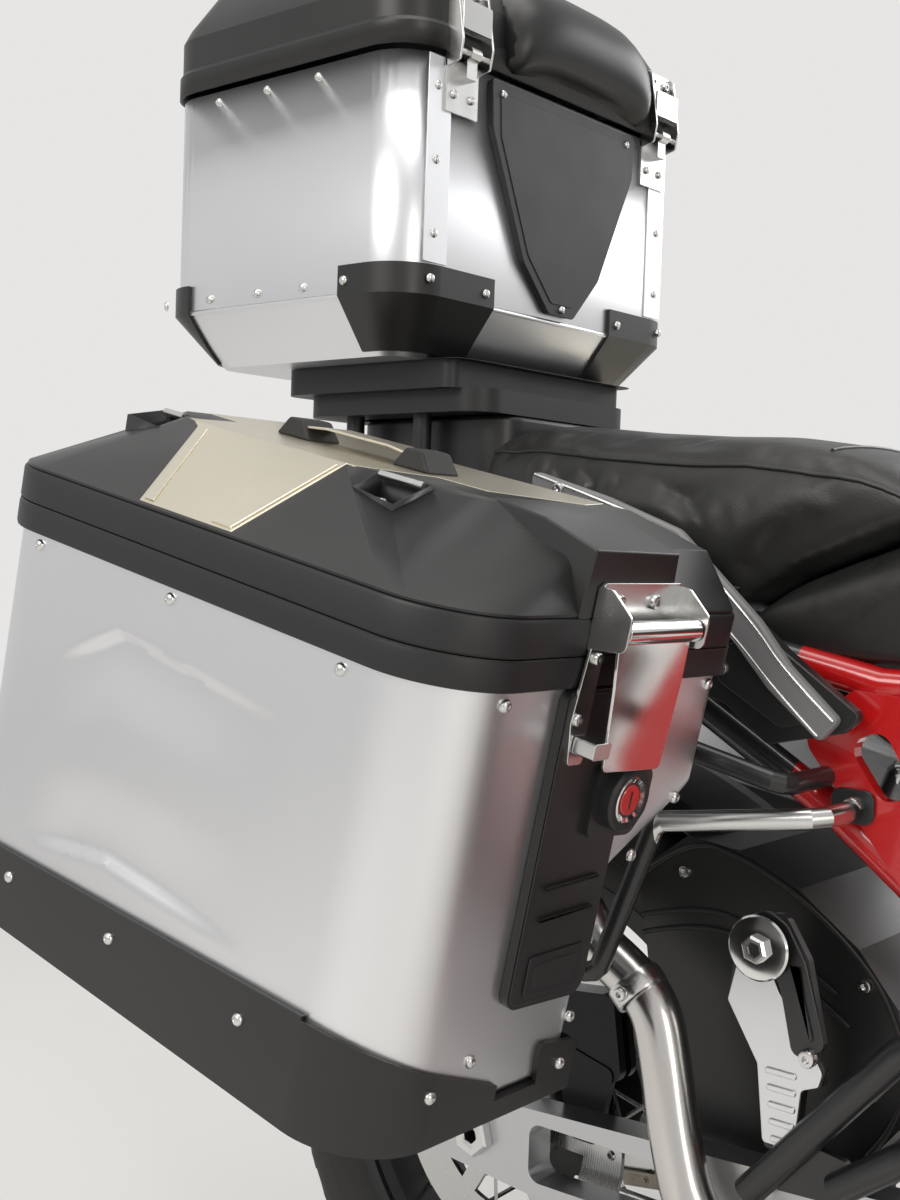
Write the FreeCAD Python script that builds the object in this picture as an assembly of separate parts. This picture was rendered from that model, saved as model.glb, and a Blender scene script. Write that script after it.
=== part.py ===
import FreeCAD, Part
import math
import os

# Adventure motorcycle on its centre stand, with two aluminium side cases and a top case.
# Millimetres. X forward, Y to the rider's left, Z up; the rear axle is at x = 0 and the floor
# at z = 0 until the last section, which moves the whole machine over the middle of its base.

# Wheels and steering geometry
wheelbase = 1575.0
rear_tyre_r = 330.0
rear_tyre_w = 150.0
rear_bead_r = 229.0
front_tyre_r = 345.0
front_tyre_w = 92.0
front_bead_r = 267.0
rear_lift = 30.0
rake_deg = 27.5
trail = 113.0
spoke_count = 32
spoke_r = 2.2
axle_r = 12.5
axle_bore_r = 8.0
hub_r = 30.0
running_gap = 0.05
clear = 0.3
mitre_deg = 32.0

# Frame
tube_r = 17.0
pivot_x = 560.0
pivot_z = 400.0
arm_inner_y = 104.0
arm_w = 32.0
cradle_z = 262.0
head_low = 560.0
head_high = 720.0
head_r = 34.0
stem_r = 15.0

# Fork and controls
fork_y = 103.0
sub_r = 13.0
sub_front_y = 96.0
radiator_in = 104.0
radiator_out = 177.7
fork_outer_r = 28.0
fork_inner_r = 22.0
bar_half = 465.0
bar_r = 11.0
bar_rise = 158.0

# Brakes and final drive
front_disc_r = 155.0
rear_disc_r = 128.0
disc_t = 5.0
disc_y = 88.0
rear_teeth = 42
front_teeth = 16
chain_pitch = 15.875
chain_y = 92.5
drive_shaft_r = 10.0

# Side cases: the front outer corner of the rim, the pitch, and the sizes of one case
case_x = 290.0
case_z = 809.0
case_pitch = 11.9
case_len = 470.0
case_out = 539.0
case_in = 233.0
case_low_in = 330.0
case_h = 285.0
case_guard_front_h = 62.0
case_guard_rear_h = 40.0
case_guard_under = 15.0
case_step_top = -82.0
case_step_low = -142.0
case_corner = 60.0
case_wall = 2.5
case_rim_h = 20.0
case_shell_top = 17.0
case_band_h = 46.0
case_lid_h = 98.0
tower_h = 89.0
tower_in = 331.0
tower_out = 434.0
lid_hinge_x = -483.0
lid_hinge_z = 18.0
lever_x = 26.0
lever_z = 41.0
latch_y = 375.0
strip_y = 387.0
strip_half = 43.0
lock_y = 355.0
lock_z = -76.0

# Top case
box_x = -50.0
box_rim_z = 1330.0
box_half = 217.0
box_len = 333.0
box_fold_h = 215.0
box_tray_h = 50.0
box_lid_h = 112.0
box_corner = 45.0
box_guard_top = 1142.0
box_hinge_x = -36.0
box_hinge_z = 1332.0

# Height of the rider's place, and the stands
rider_z = 885.0
stand_x = 520.0
stand_z = 290.0
stand_lead = 25.0
side_stand_len = 222.0
side_x = 640.0
side_y = 156.0
side_z = cradle_z
side_tilt = 12.0

V = FreeCAD.Vector
rear_axle_z = rear_tyre_r + rear_lift
front_axle_z = front_tyre_r
rake = math.radians(rake_deg)
steer_up = V(-math.sin(rake), 0, math.cos(rake))
steer_fwd = V(math.cos(rake), 0, math.sin(rake))
fork_offset = front_tyre_r * math.sin(rake) - trail * math.cos(rake)
front_axle = V(wheelbase, 0, front_axle_z)
steer_origin = front_axle - steer_fwd * fork_offset
NODES = {}


def block(x0, x1, y0, y1, z0, z1):
    """Box between two corners."""
    return Part.makeBox(x1 - x0, y1 - y0, z1 - z0, V(x0, y0, z0))


def rod(start, end, radius):
    """Round bar between two points."""
    line = end - start
    return Part.makeCylinder(radius, line.Length, start, line)


def square_bar(start, end, radius):
    """Thin four-sided bar between two points."""
    line = end - start
    corners = [line.cross(V(0, 1, 0)).normalize() * radius]
    turn = FreeCAD.Rotation(line, 90)
    for i in range(4):
        corners.append(turn.multVec(corners[-1]))
    return Part.Face(Part.makePolygon([start + corner for corner in corners])).extrude(line)


def pipe(start, end, radius, bore):
    """Tube between two points."""
    return rod(start, end, radius).cut(rod(start, end, bore))


def outline(points):
    """Closed wire of straight edges through points, with an arc of radius r at each (point, r)."""
    corners = [(V(*p), r) for p, r in points]
    count = len(corners)
    stops = []
    for i, (here, radius) in enumerate(corners):
        before = corners[i - 1][0]
        after = corners[(i + 1) % count][0]
        if radius == 0:
            stops.append((here, None, here))
            continue
        a = (before - here).normalize()
        b = (after - here).normalize()
        half = a.getAngle(b) / 2
        cut = radius / math.tan(half)
        middle = (a + b).normalize() * (radius / math.sin(half) - radius)
        stops.append((here + a * cut, here + middle, here + b * cut))
    edges = []
    for i, (enter, middle, leave) in enumerate(stops):
        if middle is not None:
            edges.append(Part.Arc(enter, middle, leave).toShape())
        following = stops[(i + 1) % count][0]
        if (following - leave).Length > 1e-6:
            edges.append(Part.makeLine(leave, following))
    return Part.Wire(edges)


def plate(points, low, high, across="y"):
    """Flat plate: an outline of (a, b, corner radius) made thick from low to high.

    Across y the outline lies in XZ, across z in XY, and across x in YZ."""
    place = {"y": lambda a, b: (a, low, b), "z": lambda a, b: (a, b, low), "x": lambda a, b: (low, a, b)}
    push = {"y": V(0, high - low, 0), "z": V(0, 0, high - low), "x": V(high - low, 0, 0)}
    wire = outline([(place[across](a, b), r) for a, b, r in points])
    return Part.Face(wire).extrude(push[across])


def bar(points, radius, bend=0.0):
    """Round bar through points, each inner corner bent to the bend radius by mitred straights."""
    pts = [V(*p) for p in points]
    line = [pts[0]]
    for before, here, after in zip(pts, pts[1:], pts[2:]):
        inward = (here - before).normalize()
        outward = (after - here).normalize()
        turn = inward.getAngle(outward)
        mitres = max(1, round(math.degrees(turn) / mitre_deg)) if bend else 1
        axis = inward.cross(outward).normalize()
        enter = here - inward * bend * math.tan(turn / 2)
        centre = enter + axis.cross(inward) * bend
        spoke = (enter - centre) * (1 / math.cos(turn / mitres / 2))
        for k in range(mitres):
            angle = math.degrees(turn) * (k + 0.5) / mitres
            line.append(centre + FreeCAD.Rotation(axis, angle).multVec(spoke) if bend else here)
    line.append(pts[-1])
    section = Part.Wire(Part.makeCircle(radius, line[0], line[1] - line[0]))
    return Part.makePolygon(line).makePipeShell([section], True, False, 1)


def fuse(shapes):
    """One shape from several that meet."""
    if len(shapes) == 1:
        return shapes[0]
    return shapes[0].multiFuse(shapes[1:]).removeSplitter()


def spun(points, centre, axis=V(0, 1, 0)):
    """Ring turned about the Y axis from a profile of (radius, y)."""
    wire = Part.makePolygon([V(r, y, 0) for r, y in points + points[:1]])
    ring = Part.Face(wire).revolve(V(0, 0, 0), axis, 360)
    ring.translate(centre)
    return ring


def mirrored(shape):
    """The same piece on the other side of the machine."""
    return shape.mirror(V(0, 0, 0), V(0, 1, 0))


def on_steering(along, forward, side):
    """Point in the steering's own axes: along the stem, ahead of it, and to the left."""
    return steer_origin + steer_up * along + steer_fwd * forward + V(0, side, 0)


def add(name, *shapes):
    """Keep shapes as one node."""
    solids = [solid for shape in shapes for solid in shape.Solids]
    NODES.setdefault(name, []).extend(solids)


# Wheels: aluminium rim, hub, laced spokes and tyre
def rim(centre, bead_r, half):
    """Rim with two flanges and a well."""
    lip = half + 6
    profile = [(bead_r - 14, -half + 8), (bead_r - 14, half - 8), (bead_r - 6, half), (bead_r - 6, lip),
               (bead_r + 11, lip), (bead_r + 11, half), (bead_r - 3, half), (bead_r - 11, half - 10),
               (bead_r - 11, -half + 10), (bead_r - 3, -half), (bead_r + 11, -half), (bead_r + 11, -lip),
               (bead_r - 6, -lip), (bead_r - 6, -half)]
    return spun(profile, centre)


def tyre(centre, bead_r, outer_r, width, half):
    """Tyre with a crown of five flats and straight shoulders, seated outside the rim."""
    w = width / 2
    rise = outer_r - bead_r
    foot = bead_r + clear
    side = half - clear
    left = [(foot - 3, side), (foot + 12, side), (foot + 12, side + 7), (bead_r + 0.4 * rise, w),
            (bead_r + 0.68 * rise, w), (outer_r - 0.3 * w, 0.74 * w), (outer_r - 0.07 * w, 0.36 * w),
            (outer_r, 0)]
    return spun(left + [(r, -y) for r, y in left[-2::-1]], centre)


def hub(centre, flange_r, flange_y, end_y):
    """Hub with two spoke flanges and a bore for the axle."""
    step = 48
    profile = [(axle_r + running_gap, -end_y), (axle_r + running_gap, end_y), (hub_r, end_y), (hub_r, step),
               (34, step - 2), (34, flange_y + 6), (flange_r, flange_y + 5), (flange_r, flange_y - 5),
               (38, flange_y - 12), (38, -flange_y + 12), (flange_r, -flange_y + 5), (flange_r,
                                                                                      -flange_y - 5),
               (34, -flange_y - 6), (34, 2 - step), (hub_r, -step), (hub_r, -end_y)]
    return spun(profile, centre)


def spokes(centre, flange_r, flange_y, rim_r, rim_y):
    """Crossed spokes: half lean forward from the outside of a flange, half back from the inside."""
    made = []
    step = 360.0 / spoke_count
    for i in range(spoke_count):
        side = 1 if i % 2 else -1
        lean = 1 if (i // 2) % 2 else -1
        root = math.radians(step * i - lean * 34)
        tip = math.radians(step * i + lean * 4)
        root_y = side * (flange_y + lean * 3.4)
        a = V((flange_r - 6) * math.cos(root), root_y, (flange_r - 6) * math.sin(root))
        b = V(rim_r * math.cos(tip), side * rim_y, rim_r * math.sin(tip))
        made.append(square_bar(centre + a, centre + b, spoke_r))
    return made


def disc(centre, outer_r, inner_r, y):
    """Brake disc with a ring of drilled holes, a hub ring and joining arms."""
    ring = spun([(inner_r, y - disc_t / 2), (outer_r, y - disc_t / 2), (outer_r, y + disc_t / 2),
                 (inner_r, y + disc_t / 2)], centre)
    middle = (inner_r + outer_r) / 2
    for i in range(12):
        angle = math.radians(30 * i)
        place = centre + V((middle + 9 * (-1) ** i) * math.cos(angle), y - disc_t,
                           (middle + 9 * (-1) ** i) * math.sin(angle))
        ring = ring.cut(Part.makeCylinder(4.5, 2 * disc_t, place, V(0, 1, 0)))
    return ring


rear_centre = V(0, 0, rear_axle_z)
rear_half = 54.0
front_half = 28.0
add("rear_rim", fuse([rim(rear_centre, rear_bead_r, rear_half), hub(rear_centre, 72, 34, 62)]
                     + spokes(rear_centre, 72, 34, rear_bead_r - 12, 8)))
add("rear_tyre", tyre(rear_centre, rear_bead_r, rear_tyre_r, rear_tyre_w, rear_half))
add("front_rim", fuse([rim(front_axle, front_bead_r, front_half), hub(front_axle, 60, 30, 58)]
                      + spokes(front_axle, 60, 30, front_bead_r - 12, 6)))
add("front_tyre", tyre(front_axle, front_bead_r, front_tyre_r, front_tyre_w, front_half))


def carrier(centre, inner_r, y, hub_y, face):
    """Disc carrier: a dish with arms from the hub out to the disc, bolted to the hub's end."""
    arms = []
    for i in range(6):
        angle = 60 * i
        arm = block(34, inner_r + 6, -9, 9, 0, 5)
        arm.rotate(V(0, 0, 0), V(1, 0, 0), 90)
        arm.translate(V(0, 2.5, 0))
        arm.rotate(V(0, 0, 0), V(0, 1, 0), angle)
        arm.translate(V(0, y, 0))
        arms.append(arm)
    low, high = sorted([hub_y, y + face * disc_t / 2])
    ring = spun([(hub_r + clear, low), (44, low), (44, high), (hub_r + clear, high)], V(0, 0, 0))
    whole = fuse(arms + [ring])
    whole.translate(centre)
    return whole


for side in (1, -1):
    ring = disc(front_axle, front_disc_r, 112, side * 68)
    dish = carrier(front_axle, 112, side * 68, side * 50, side)
    add("front_discs", fuse([ring, dish]))
add("rear_disc", fuse([disc(rear_centre, rear_disc_r, 88, -disc_y),
                       carrier(rear_centre, 88, -disc_y, -50, -1)]))

# Final drive: sprockets and the chain's loop
rear_pitch_r = chain_pitch / (2 * math.sin(math.pi / rear_teeth))
front_pitch_r = chain_pitch / (2 * math.sin(math.pi / front_teeth))
drive_x = pivot_x + 95
drive_z = pivot_z + 6


def sprocket(centre, teeth, pitch_r, bore, y):
    """Toothed plate: the root circle with one tapered tooth for each roller gap."""
    base = Part.makeCylinder(pitch_r - 5.0, 6, V(0, y - 3, 0), V(0, 1, 0))
    made = [base]
    for i in range(teeth):
        tooth = plate([(pitch_r - 7, -3.2, 0), (pitch_r - 7, 3.2, 0), (pitch_r + 4, 1.6, 0),
                       (pitch_r + 4, -1.6, 0)],
                      y - 3, y + 3)
        tooth.rotate(V(0, 0, 0), V(0, 1, 0), 360.0 * i / teeth)
        made.append(tooth)
    whole = made[0].multiFuse(made[1:])
    whole = whole.cut(Part.makeCylinder(bore, 20, V(0, y - 10, 0), V(0, 1, 0)))
    whole.translate(centre)
    return whole


drive_centre = V(drive_x, 0, drive_z)
rear_plate = sprocket(rear_centre, rear_teeth, rear_pitch_r, hub_r + clear, chain_y)
rear_carrier = spun([(hub_r + clear, 50), (46, 50), (46, chain_y + 3), (hub_r + clear, chain_y + 3)],
                    rear_centre)
add("rear_sprocket", fuse([rear_plate, rear_carrier]))
front_plate = sprocket(drive_centre, front_teeth, front_pitch_r, drive_shaft_r, chain_y)


def chain_loop():
    """Chain as a band that runs round both sprockets, with the side plates' depth."""
    gap = drive_centre - rear_centre
    spread = rear_pitch_r - front_pitch_r
    slope = math.atan2(gap.z, gap.x)
    lean = math.asin(spread / gap.Length)
    rings = []
    for offset in (7.5, -7.5):
        marks = []
        for sign in (1, -1):
            angle = slope + sign * (math.pi / 2 - lean)
            normal = V(math.cos(angle), 0, math.sin(angle))
            marks.append((rear_centre + normal * (rear_pitch_r + offset),
                          drive_centre + normal * (front_pitch_r + offset)))
        back = V(-math.cos(slope), 0, -math.sin(slope))
        rear_mid = rear_centre + back * (rear_pitch_r + offset)
        front_mid = drive_centre - back * (front_pitch_r + offset)
        edges = [Part.makeLine(*marks[0]), Part.Arc(marks[0][1], front_mid, marks[1][1]).toShape(),
                 Part.makeLine(marks[1][1], marks[1][0]), Part.Arc(marks[1][0], rear_mid,
                                                                   marks[0][0]).toShape()]
        rings.append(Part.Face(Part.Wire(edges)))
    made = []
    for low in (chain_y - 9, chain_y + 4.5):
        band = rings[0].extrude(V(0, 4.5, 0)).cut(rings[1].extrude(V(0, 4.5, 0)))
        band.translate(V(0, low, 0))
        made.append(band)
    return made


rollers = []
for k in (-3.5, -2.5, -1.5, -0.5, 0.5, 1.5, 2.5, 3.5):
    angle = math.radians(360.0 / front_teeth * k)
    seat = drive_centre + V(front_pitch_r * math.cos(angle), 0, front_pitch_r * math.sin(angle))
    rollers.append(rod(seat + V(0, chain_y - 9, 0), seat + V(0, chain_y + 9, 0), 5))
add("drive_chain", fuse([front_plate] + chain_loop() + rollers))

# Main frame: steering head, two spars, two down tubes and the lower cradle
head_a = on_steering(head_low, 0, 0)
head_b = on_steering(head_high, 0, 0)
frame_side = []
for side in (1, -1):
    spar = [(head_b.x - 15, side * 22, head_b.z - 30), (940, side * 118, 838), (640, side * 118, 650),
            (585, side * 57, 505), (pivot_x, side * 57, pivot_z + 60)]
    cradle = [(head_a.x - 30, side * 22, head_a.z + 60), (1160, side * 80, 600), (1120, side * 122, 320),
              (1060, side * 122, cradle_z), (600, side * 122, cradle_z), (566, side * 57, cradle_z + 52),
              (pivot_x, side * 57, pivot_z - 50)]
    frame_side.append(bar(spar, tube_r, 40))
    frame_side.append(bar(cradle, tube_r, 30))
    frame_side.append(block(pivot_x - 32, pivot_x + 32, *sorted([side * 44, side * 74]), pivot_z - 75,
                            pivot_z + 80))
    frame_side.append(rod(V(stand_x, side * 80, stand_z), V(stand_x, side * 122, stand_z), 8))
    frame_side.append(plate([(stand_x - 16, stand_z - 16, 8), (600, 250, 8), (600, 330, 8),
                             (stand_x + 14, stand_z + 20, 10), (stand_x - 16, stand_z + 16, 10)],
                            *sorted([side * 80, side * 88])))
    frame_side.append(plate([(690, 655, 8), (735, 680, 8), (735, 815, 12), (690, 815, 12)],
                            *sorted([side * (sub_front_y + sub_r + 3), side * 122])))
    frame_side.append(rod(V(580, side * 60, 430), V(632, side * 60, 430), 10))
    frame_side.append(rod(V(578, side * 57, 520), V(578, side * (116 - sub_r - clear), 520), 10))
    frame_side.append(rod(V(1170, side * 74, 612), V(1170, side * (radiator_in - clear), 612), 8))
    frame_side.append(rod(V(1181, side * 49, 745), V(1181, side * (radiator_in - clear), 745), 8))
side_pivot = V(side_x, side_y, side_z)
side_axis = V(0, math.cos(math.radians(side_tilt)), math.sin(math.radians(side_tilt)))
side_pin = rod(side_pivot - side_axis * 34, side_pivot + side_axis * 16, 6)
frame_side.append(side_pin)
head_tube = rod(head_a, head_b, head_r)
gusset = bar([(head_a.x - 60, 0, head_a.z + 30), (head_b.x - 60, 0, head_b.z - 45)], 24)
frame = fuse(frame_side + [head_tube, gusset])
frame = frame.cut(rod(head_a - steer_up * 5, head_b + steer_up * 5, stem_r))
frame = frame.cut(Part.makeCylinder(14, 300, V(pivot_x, -150, pivot_z), V(0, 1, 0)))
add("main_frame", frame)

# Swinging arm: two tapered aluminium beams, a cross tube and the axle's ends
arm = []
for side in (1, -1):
    near = side * arm_inner_y
    far = side * (arm_inner_y + arm_w)
    beam = plate([(pivot_x + 30, pivot_z + 34, 20), (pivot_x + 30, pivot_z - 34, 20),
                  (120, rear_axle_z - 42, 30),
                  (-62, rear_axle_z - 30, 20), (-62, rear_axle_z + 30, 20), (120, rear_axle_z + 42, 30)],
                 min(near, far), max(near, far))
    beam = beam.cut(plate([(60, rear_axle_z + 26, 12), (60, rear_axle_z - 26, 12),
                           (230, rear_axle_z - 20, 12),
                           (230, rear_axle_z + 30, 12)], side * (arm_inner_y + arm_w / 2) - 60,
                          side * (arm_inner_y + arm_w / 2) + 60))
    beam = beam.cut(Part.makeCylinder(axle_r, 300, V(0, -150, rear_axle_z), V(0, 1, 0)))
    arm.append(beam)
    arm.append(rod(V(pivot_x, side * 76, pivot_z), V(pivot_x, side * (arm_inner_y + 2), pivot_z), 26))
arm.append(rod(V(430, -arm_inner_y - 4, pivot_z - 2), V(430, arm_inner_y + 4, pivot_z - 2), 26))
swingarm = fuse(arm).cut(Part.makeCylinder(14, 400, V(pivot_x, -200, pivot_z), V(0, 1, 0)))
add("swingarm", swingarm)
pivot_half = arm_inner_y + arm_w + 8
add("axle_tubes", pipe(V(pivot_x, -pivot_half, pivot_z), V(pivot_x, pivot_half, pivot_z), 14, 8))
axle_half = arm_inner_y + arm_w + 10
add("axle_tubes", pipe(V(0, -axle_half, rear_axle_z), V(0, axle_half, rear_axle_z), axle_r, axle_bore_r))

# Engine: crankcase, cylinders, covers and the case round the front sprocket
crank = plate([(620, 470, 30), (690, 300, 25), (1040, 292, 30), (1085, 350, 40), (1060, 470, 30),
               (900, 520, 20), (700, 540, 30)], -95, 76)
cylinders = plate([(850, 480, 10), (1040, 440, 10), (1100, 640, 20), (1085, 700, 25), (915, 735, 25)], -100,
                  100)
lean = plate([(870, 738, 8), (1070, 706, 8), (1060, 752, 20), (900, 776, 20)], -85, 85)
covers = [Part.makeCylinder(92, 40, V(800, -134, 395), V(0, 1, 0)),
          Part.makeCylinder(66, 32, V(960, -126, 380), V(0, 1, 0)),
          Part.makeCylinder(76, 40, V(950, 75, 385), V(0, 1, 0)),
          rod(V(drive_x, 60, drive_z), V(drive_x, chain_y - 10, drive_z), 24),
          rod(V(drive_x, 60, drive_z), V(drive_x, chain_y + 8, drive_z), drive_shaft_r - clear)]
header_y = (-38, 38)
header_z = 620
covers += [rod(V(1060, y, header_z), V(1102.7, y, header_z), 24) for y in header_y]
fins = []
for i in range(5):
    fins.append(block(905 + 6 * i, 1085, -106, 106, 560 + 26 * i, 564 + 26 * i))
engine = fuse([crank, cylinders, lean] + covers + fins)
add("engine", engine)

# Radiators with their fans' shrouds, one on each side
for side in (1, -1):
    low, high = sorted([side * radiator_in, side * radiator_out])
    core = plate([(1172, 560, 6), (1206, 566, 6), (1176, 800, 6), (1142, 794, 6)], low, high)
    add("radiators", core)

# Exhaust: two headers into one pipe that rises on the right to the silencer
headers = []
for y in header_y:
    headers.append(bar([(1103, y, header_z), (1140, y, header_z), (1142, y, 340), (1090, -60, 218),
                        (980, -68, 216)], 19, 28))
link_r = 21.0
link = [(990, -68, 214), (800, -70, 214), (700, -168, 214), (640, -168, 236), (560, -170, 340),
        (480, -170, 352),
        (262, -170, 352), (226, -168, 430), (200, -160, 531), (150, -155, 560), (122, -154, 600),
        (98.4, -154, 600)]
add("exhaust", fuse(headers + [bar(link, link_r, 26)]))
silencer = Part.makeLoft([outline([((98, -206, 560), 40), ((98, -206, 690), 40), ((98, -100, 690), 40),
                                   ((98, -100, 560), 40)]),
                          outline([((-330, -208, 598), 40), ((-330, -208, 728), 40),
                                   ((-330, -102, 728), 40),
                                   ((-330, -102, 598), 40)])], True, True)
tail_pipe = pipe(V(-330 - clear, -155, 662), V(-372, -155, 662), 24, 20)
add("silencer", silencer, tail_pipe)

# Rear subframe: painted tubes and the side plates with their oval hole
panel_y = 147.0
sub = []
for side in (1, -1):
    sub.append(bar([(730, side * sub_front_y, 800), (360, side * 118, 800), (40, side * 118, 862),
                    (-230, side * 100, 935)], sub_r, 60))
    sub.append(bar([(578, side * 116, 510), (330, side * 120, 700), (60, side * 118, 856)], sub_r, 60))
    for x, z in ((200, 830), (-60, 890)):
        sub.append(rod(V(x, side * 105, z), V(x, side * (panel_y - clear), z), 8))
    wall = plate([(300, 760, 20), (400, 640, 20), (450, 640, 20), (430, 790, 12), (345, 796, 10)],
                 *sorted([side * 122, side * 134]))
    sub.append(block(340, 440, *sorted([side * 108, side * 123]), 690, 712))
    hole = plate([(340, 756, 13), (372, 712, 13), (396, 724, 13), (370, 768, 13)],
                 *sorted([side * 100, side * 150]))
    sub.append(wall.cut(hole))
for x, z, half in ((330, 804, 118), (40, 862, 118), (-222, 933, 100)):
    sub.append(rod(V(x, -half, z), V(x, half, z), 10))
add("subframe", fuse(sub))

# Both seats: the rider's runs up to the step in front of the passenger's
rider = plate([(239, 838.5, 0), (253, 864.8, 0), (393, 920.3, 0), (401, 934, 0), (430, 915, 30),
               (520, rider_z - 5, 80), (720, rider_z, 60), (800, rider_z, 8), (800, 862, 12),
               (735, 813.6, 20), (372, 813.6, 20), (331, 821, 6)], -150, 150)
rider_plan = plate([(230, -136, 12), (230, 136, 12), (420, 146, 60), (560, 140, 80), (810, 75, 40),
                    (810, -75, 40), (560, -140, 80), (420, -146, 60)], 800, 980, "z")
add("seats", rider.common(rider_plan))
pillion = plate([(-90, 911.1, 10), (-84, 1006, 30), (13, 1006, 60), (124, 996, 0), (251, 994, 30),
                 (330, 978, 20), (400, 935, 6), (392, 921.5, 0), (252, 866, 0), (238, 837.7, 0),
                 (40, 875.6, 60)], -150, 150)
pillion_plan = plate([(-100, -96, 50), (-100, 96, 50), (160, 132, 100), (405, 138, 30), (405, -138, 30),
                      (160, -132, 100)], 800, 1020, "z")
add("seats", pillion.common(pillion_plan))

# Fuel tank
tank = plate([(806, 854.8, 20), (935, 854.8, 40), (1100, 916.8, 12), (1100, 975, 20), (1050, 1046, 50),
              (925, 1052, 60), (806, 930, 30)], -175, 175)
tank_plan = plate([(800, -85, 40), (800, 85, 40), (950, 172, 90), (1110, 150, 40), (1110, -150, 40),
                   (950, -172, 90)],
                  840, 1090, "z")
add("fuel_tank", tank.common(tank_plan))

# Tail: the black side covers, the grip strips and the luggage plate
for side in (1, -1):
    cover = plate([(-110, 900, 10), (-60, 945, 15), (200, 905, 30), (300, 822, 10), (362, 779, 6),
                   (352, 768, 6), (288, 752, 8), (250, 780, 15), (60, 830, 30)],
                  *sorted([side * panel_y, side * (panel_y + 10)]))
    add("tail_panels", cover)
    strip = plate([(60, 960, 6), (140, 937, 20), (208, 912, 20), (281, 845, 20), (308, 812, 12),
                   (350, 775, 5), (334, 757, 5), (290, 793, 12), (262, 824, 20), (194, 885, 20),
                   (134, 909, 20), (60, 932, 6)], *sorted([side * (panel_y + 10 + clear),
                                                          side * (panel_y + 21)]))
    add("grab_rails", strip)

rack_top = 1040.0
rack_low = 1018.0
rack_half = 125.0
adapter_half = 139.0
adapter_front = -58.0
adapter_back = -283.0
adapter_top = box_rim_z - box_fold_h - box_tray_h
rack = plate([(-270, -rack_half, 30), (-270, rack_half, 30), (-34, rack_half, 30), (-34, -rack_half, 30)],
             rack_low, rack_top, "z")
adapter = plate([(adapter_back, -adapter_half, 20), (adapter_back, adapter_half, 20),
                 (adapter_front, adapter_half, 12), (adapter_front, -adapter_half, 12)], rack_top - 1,
                adapter_top, "z")
for low, high in ((-235, -160), (-140, -80)):
    rack = rack.cut(plate([(low, -80, 15), (low, 80, 15), (high, 80, 15), (high, -80, 15)], rack_low - 5,
                          rack_top + 5, "z"))
feet = [rod(V(x, side * y, z), V(x, side * y, rack_low + 5), 9) for side in (1, -1)
        for x, y, z in ((-215, 101, 947), (-120, 107, 921.6))]
add("luggage_rack", fuse([rack, adapter] + feet))

# Mudguards
def guard_shell(centre, inner_r, half, crown, start, stop, thick):
    """Arched mudguard about a wheel, from the start angle to the stop angle."""
    profile = [(inner_r, -half), (inner_r + crown, -half * 0.6), (inner_r + crown, half * 0.6),
               (inner_r, half),
               (inner_r + thick, half + 1), (inner_r + crown + thick, half * 0.62),
               (inner_r + crown + thick, -half * 0.62), (inner_r + thick, -half - 1)]
    wire = Part.makePolygon([V(r, y, 0) for r, y in profile + profile[:1]])
    arch = Part.Face(wire).revolve(V(0, 0, 0), V(0, -1, 0), stop - start)
    arch.rotate(V(0, 0, 0), V(0, -1, 0), start)
    arch.translate(centre)
    return arch


hugger_half = 79.0
hugger = guard_shell(rear_centre, rear_tyre_r + 10, hugger_half, 6, 4, 100, 3)
flank = [(129, 615), (177, 653), (226, 648), (281, 625), (335, 587), (369, 547), (386, 470), (350, 423),
         (201, 361), (142, 538)]
under = [(120, 560), (177, 650), (226, 645), (280, 622), (333, 584.5), (366, 545), (383, 471),
         (347, 426), (340, 330), (150, 330)]
cowl = plate([(x, z, 0) for x, z in flank], -hugger_half - 3, hugger_half + 3)
cowl = cowl.cut(plate([(x, z, 0) for x, z in under], -hugger_half - 1, hugger_half + 1))
cowl = cowl.cut(Part.makeCylinder(rear_tyre_r + 10, 2 * hugger_half + 2, V(0, -hugger_half - 1,
                                                                           rear_axle_z), V(0, 1, 0)))
ears = [block(332, 353, *sorted([side * hugger_half, side * 126]), 418.6, 422) for side in (1, -1)]
hugger = fuse([hugger, cowl] + ears)
add("hugger", hugger)
mudguard = guard_shell(front_axle, front_tyre_r + 16, 56, 10, 40, 165, 3)
for side in (1, -1):
    stay = plate([(front_axle.x - 150, front_axle_z + 336, 8), (front_axle.x + 20, front_axle_z + 366, 8),
                  (front_axle.x - 72, front_axle_z + 190, 8), (front_axle.x - 124, front_axle_z + 190, 8)],
                 *sorted([side * 55, side * 60]))
    boss = rod(V(front_axle.x - 98, side * 57, front_axle_z + 206),
               V(front_axle.x - 98, side * (73.5 - clear), front_axle_z + 206), 9)
    mudguard = fuse([mudguard, stay, boss])
add("front_mudguard", mudguard)

# Fork: outer tubes, sliding tubes, clamps, stem and axle
fork_top = 775.0
slider_top = 330.0
for side in (1, -1):
    y = side * fork_y
    outer = rod(on_steering(slider_top, fork_offset, y), on_steering(fork_top, fork_offset, y),
                fork_outer_r)
    outer = outer.cut(rod(on_steering(slider_top - 1, fork_offset, y),
                          on_steering(slider_top + 60, fork_offset, y),
                          fork_inner_r + clear))
    add("fork_outers", outer)
    tube = rod(on_steering(40, fork_offset, y), on_steering(slider_top + 58, fork_offset, y), fork_inner_r)
    foot = rod(on_steering(-34, fork_offset, y), on_steering(60, fork_offset, y), 29)
    ear = plate([(front_axle.x - 36, front_axle_z + 40, 8), (front_axle.x - 6, front_axle_z + 40, 8),
                 (front_axle.x - 88, front_axle_z + 222, 8), (front_axle.x - 112, front_axle_z + 214, 8)],
                *sorted([side * 73.5, side * 79]))
    slider = fuse([tube, foot, ear]).cut(rod(front_axle + V(0, -200, 0), front_axle + V(0, 200, 0), axle_r))
    add("fork_sliders", slider)
clamps = []
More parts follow.
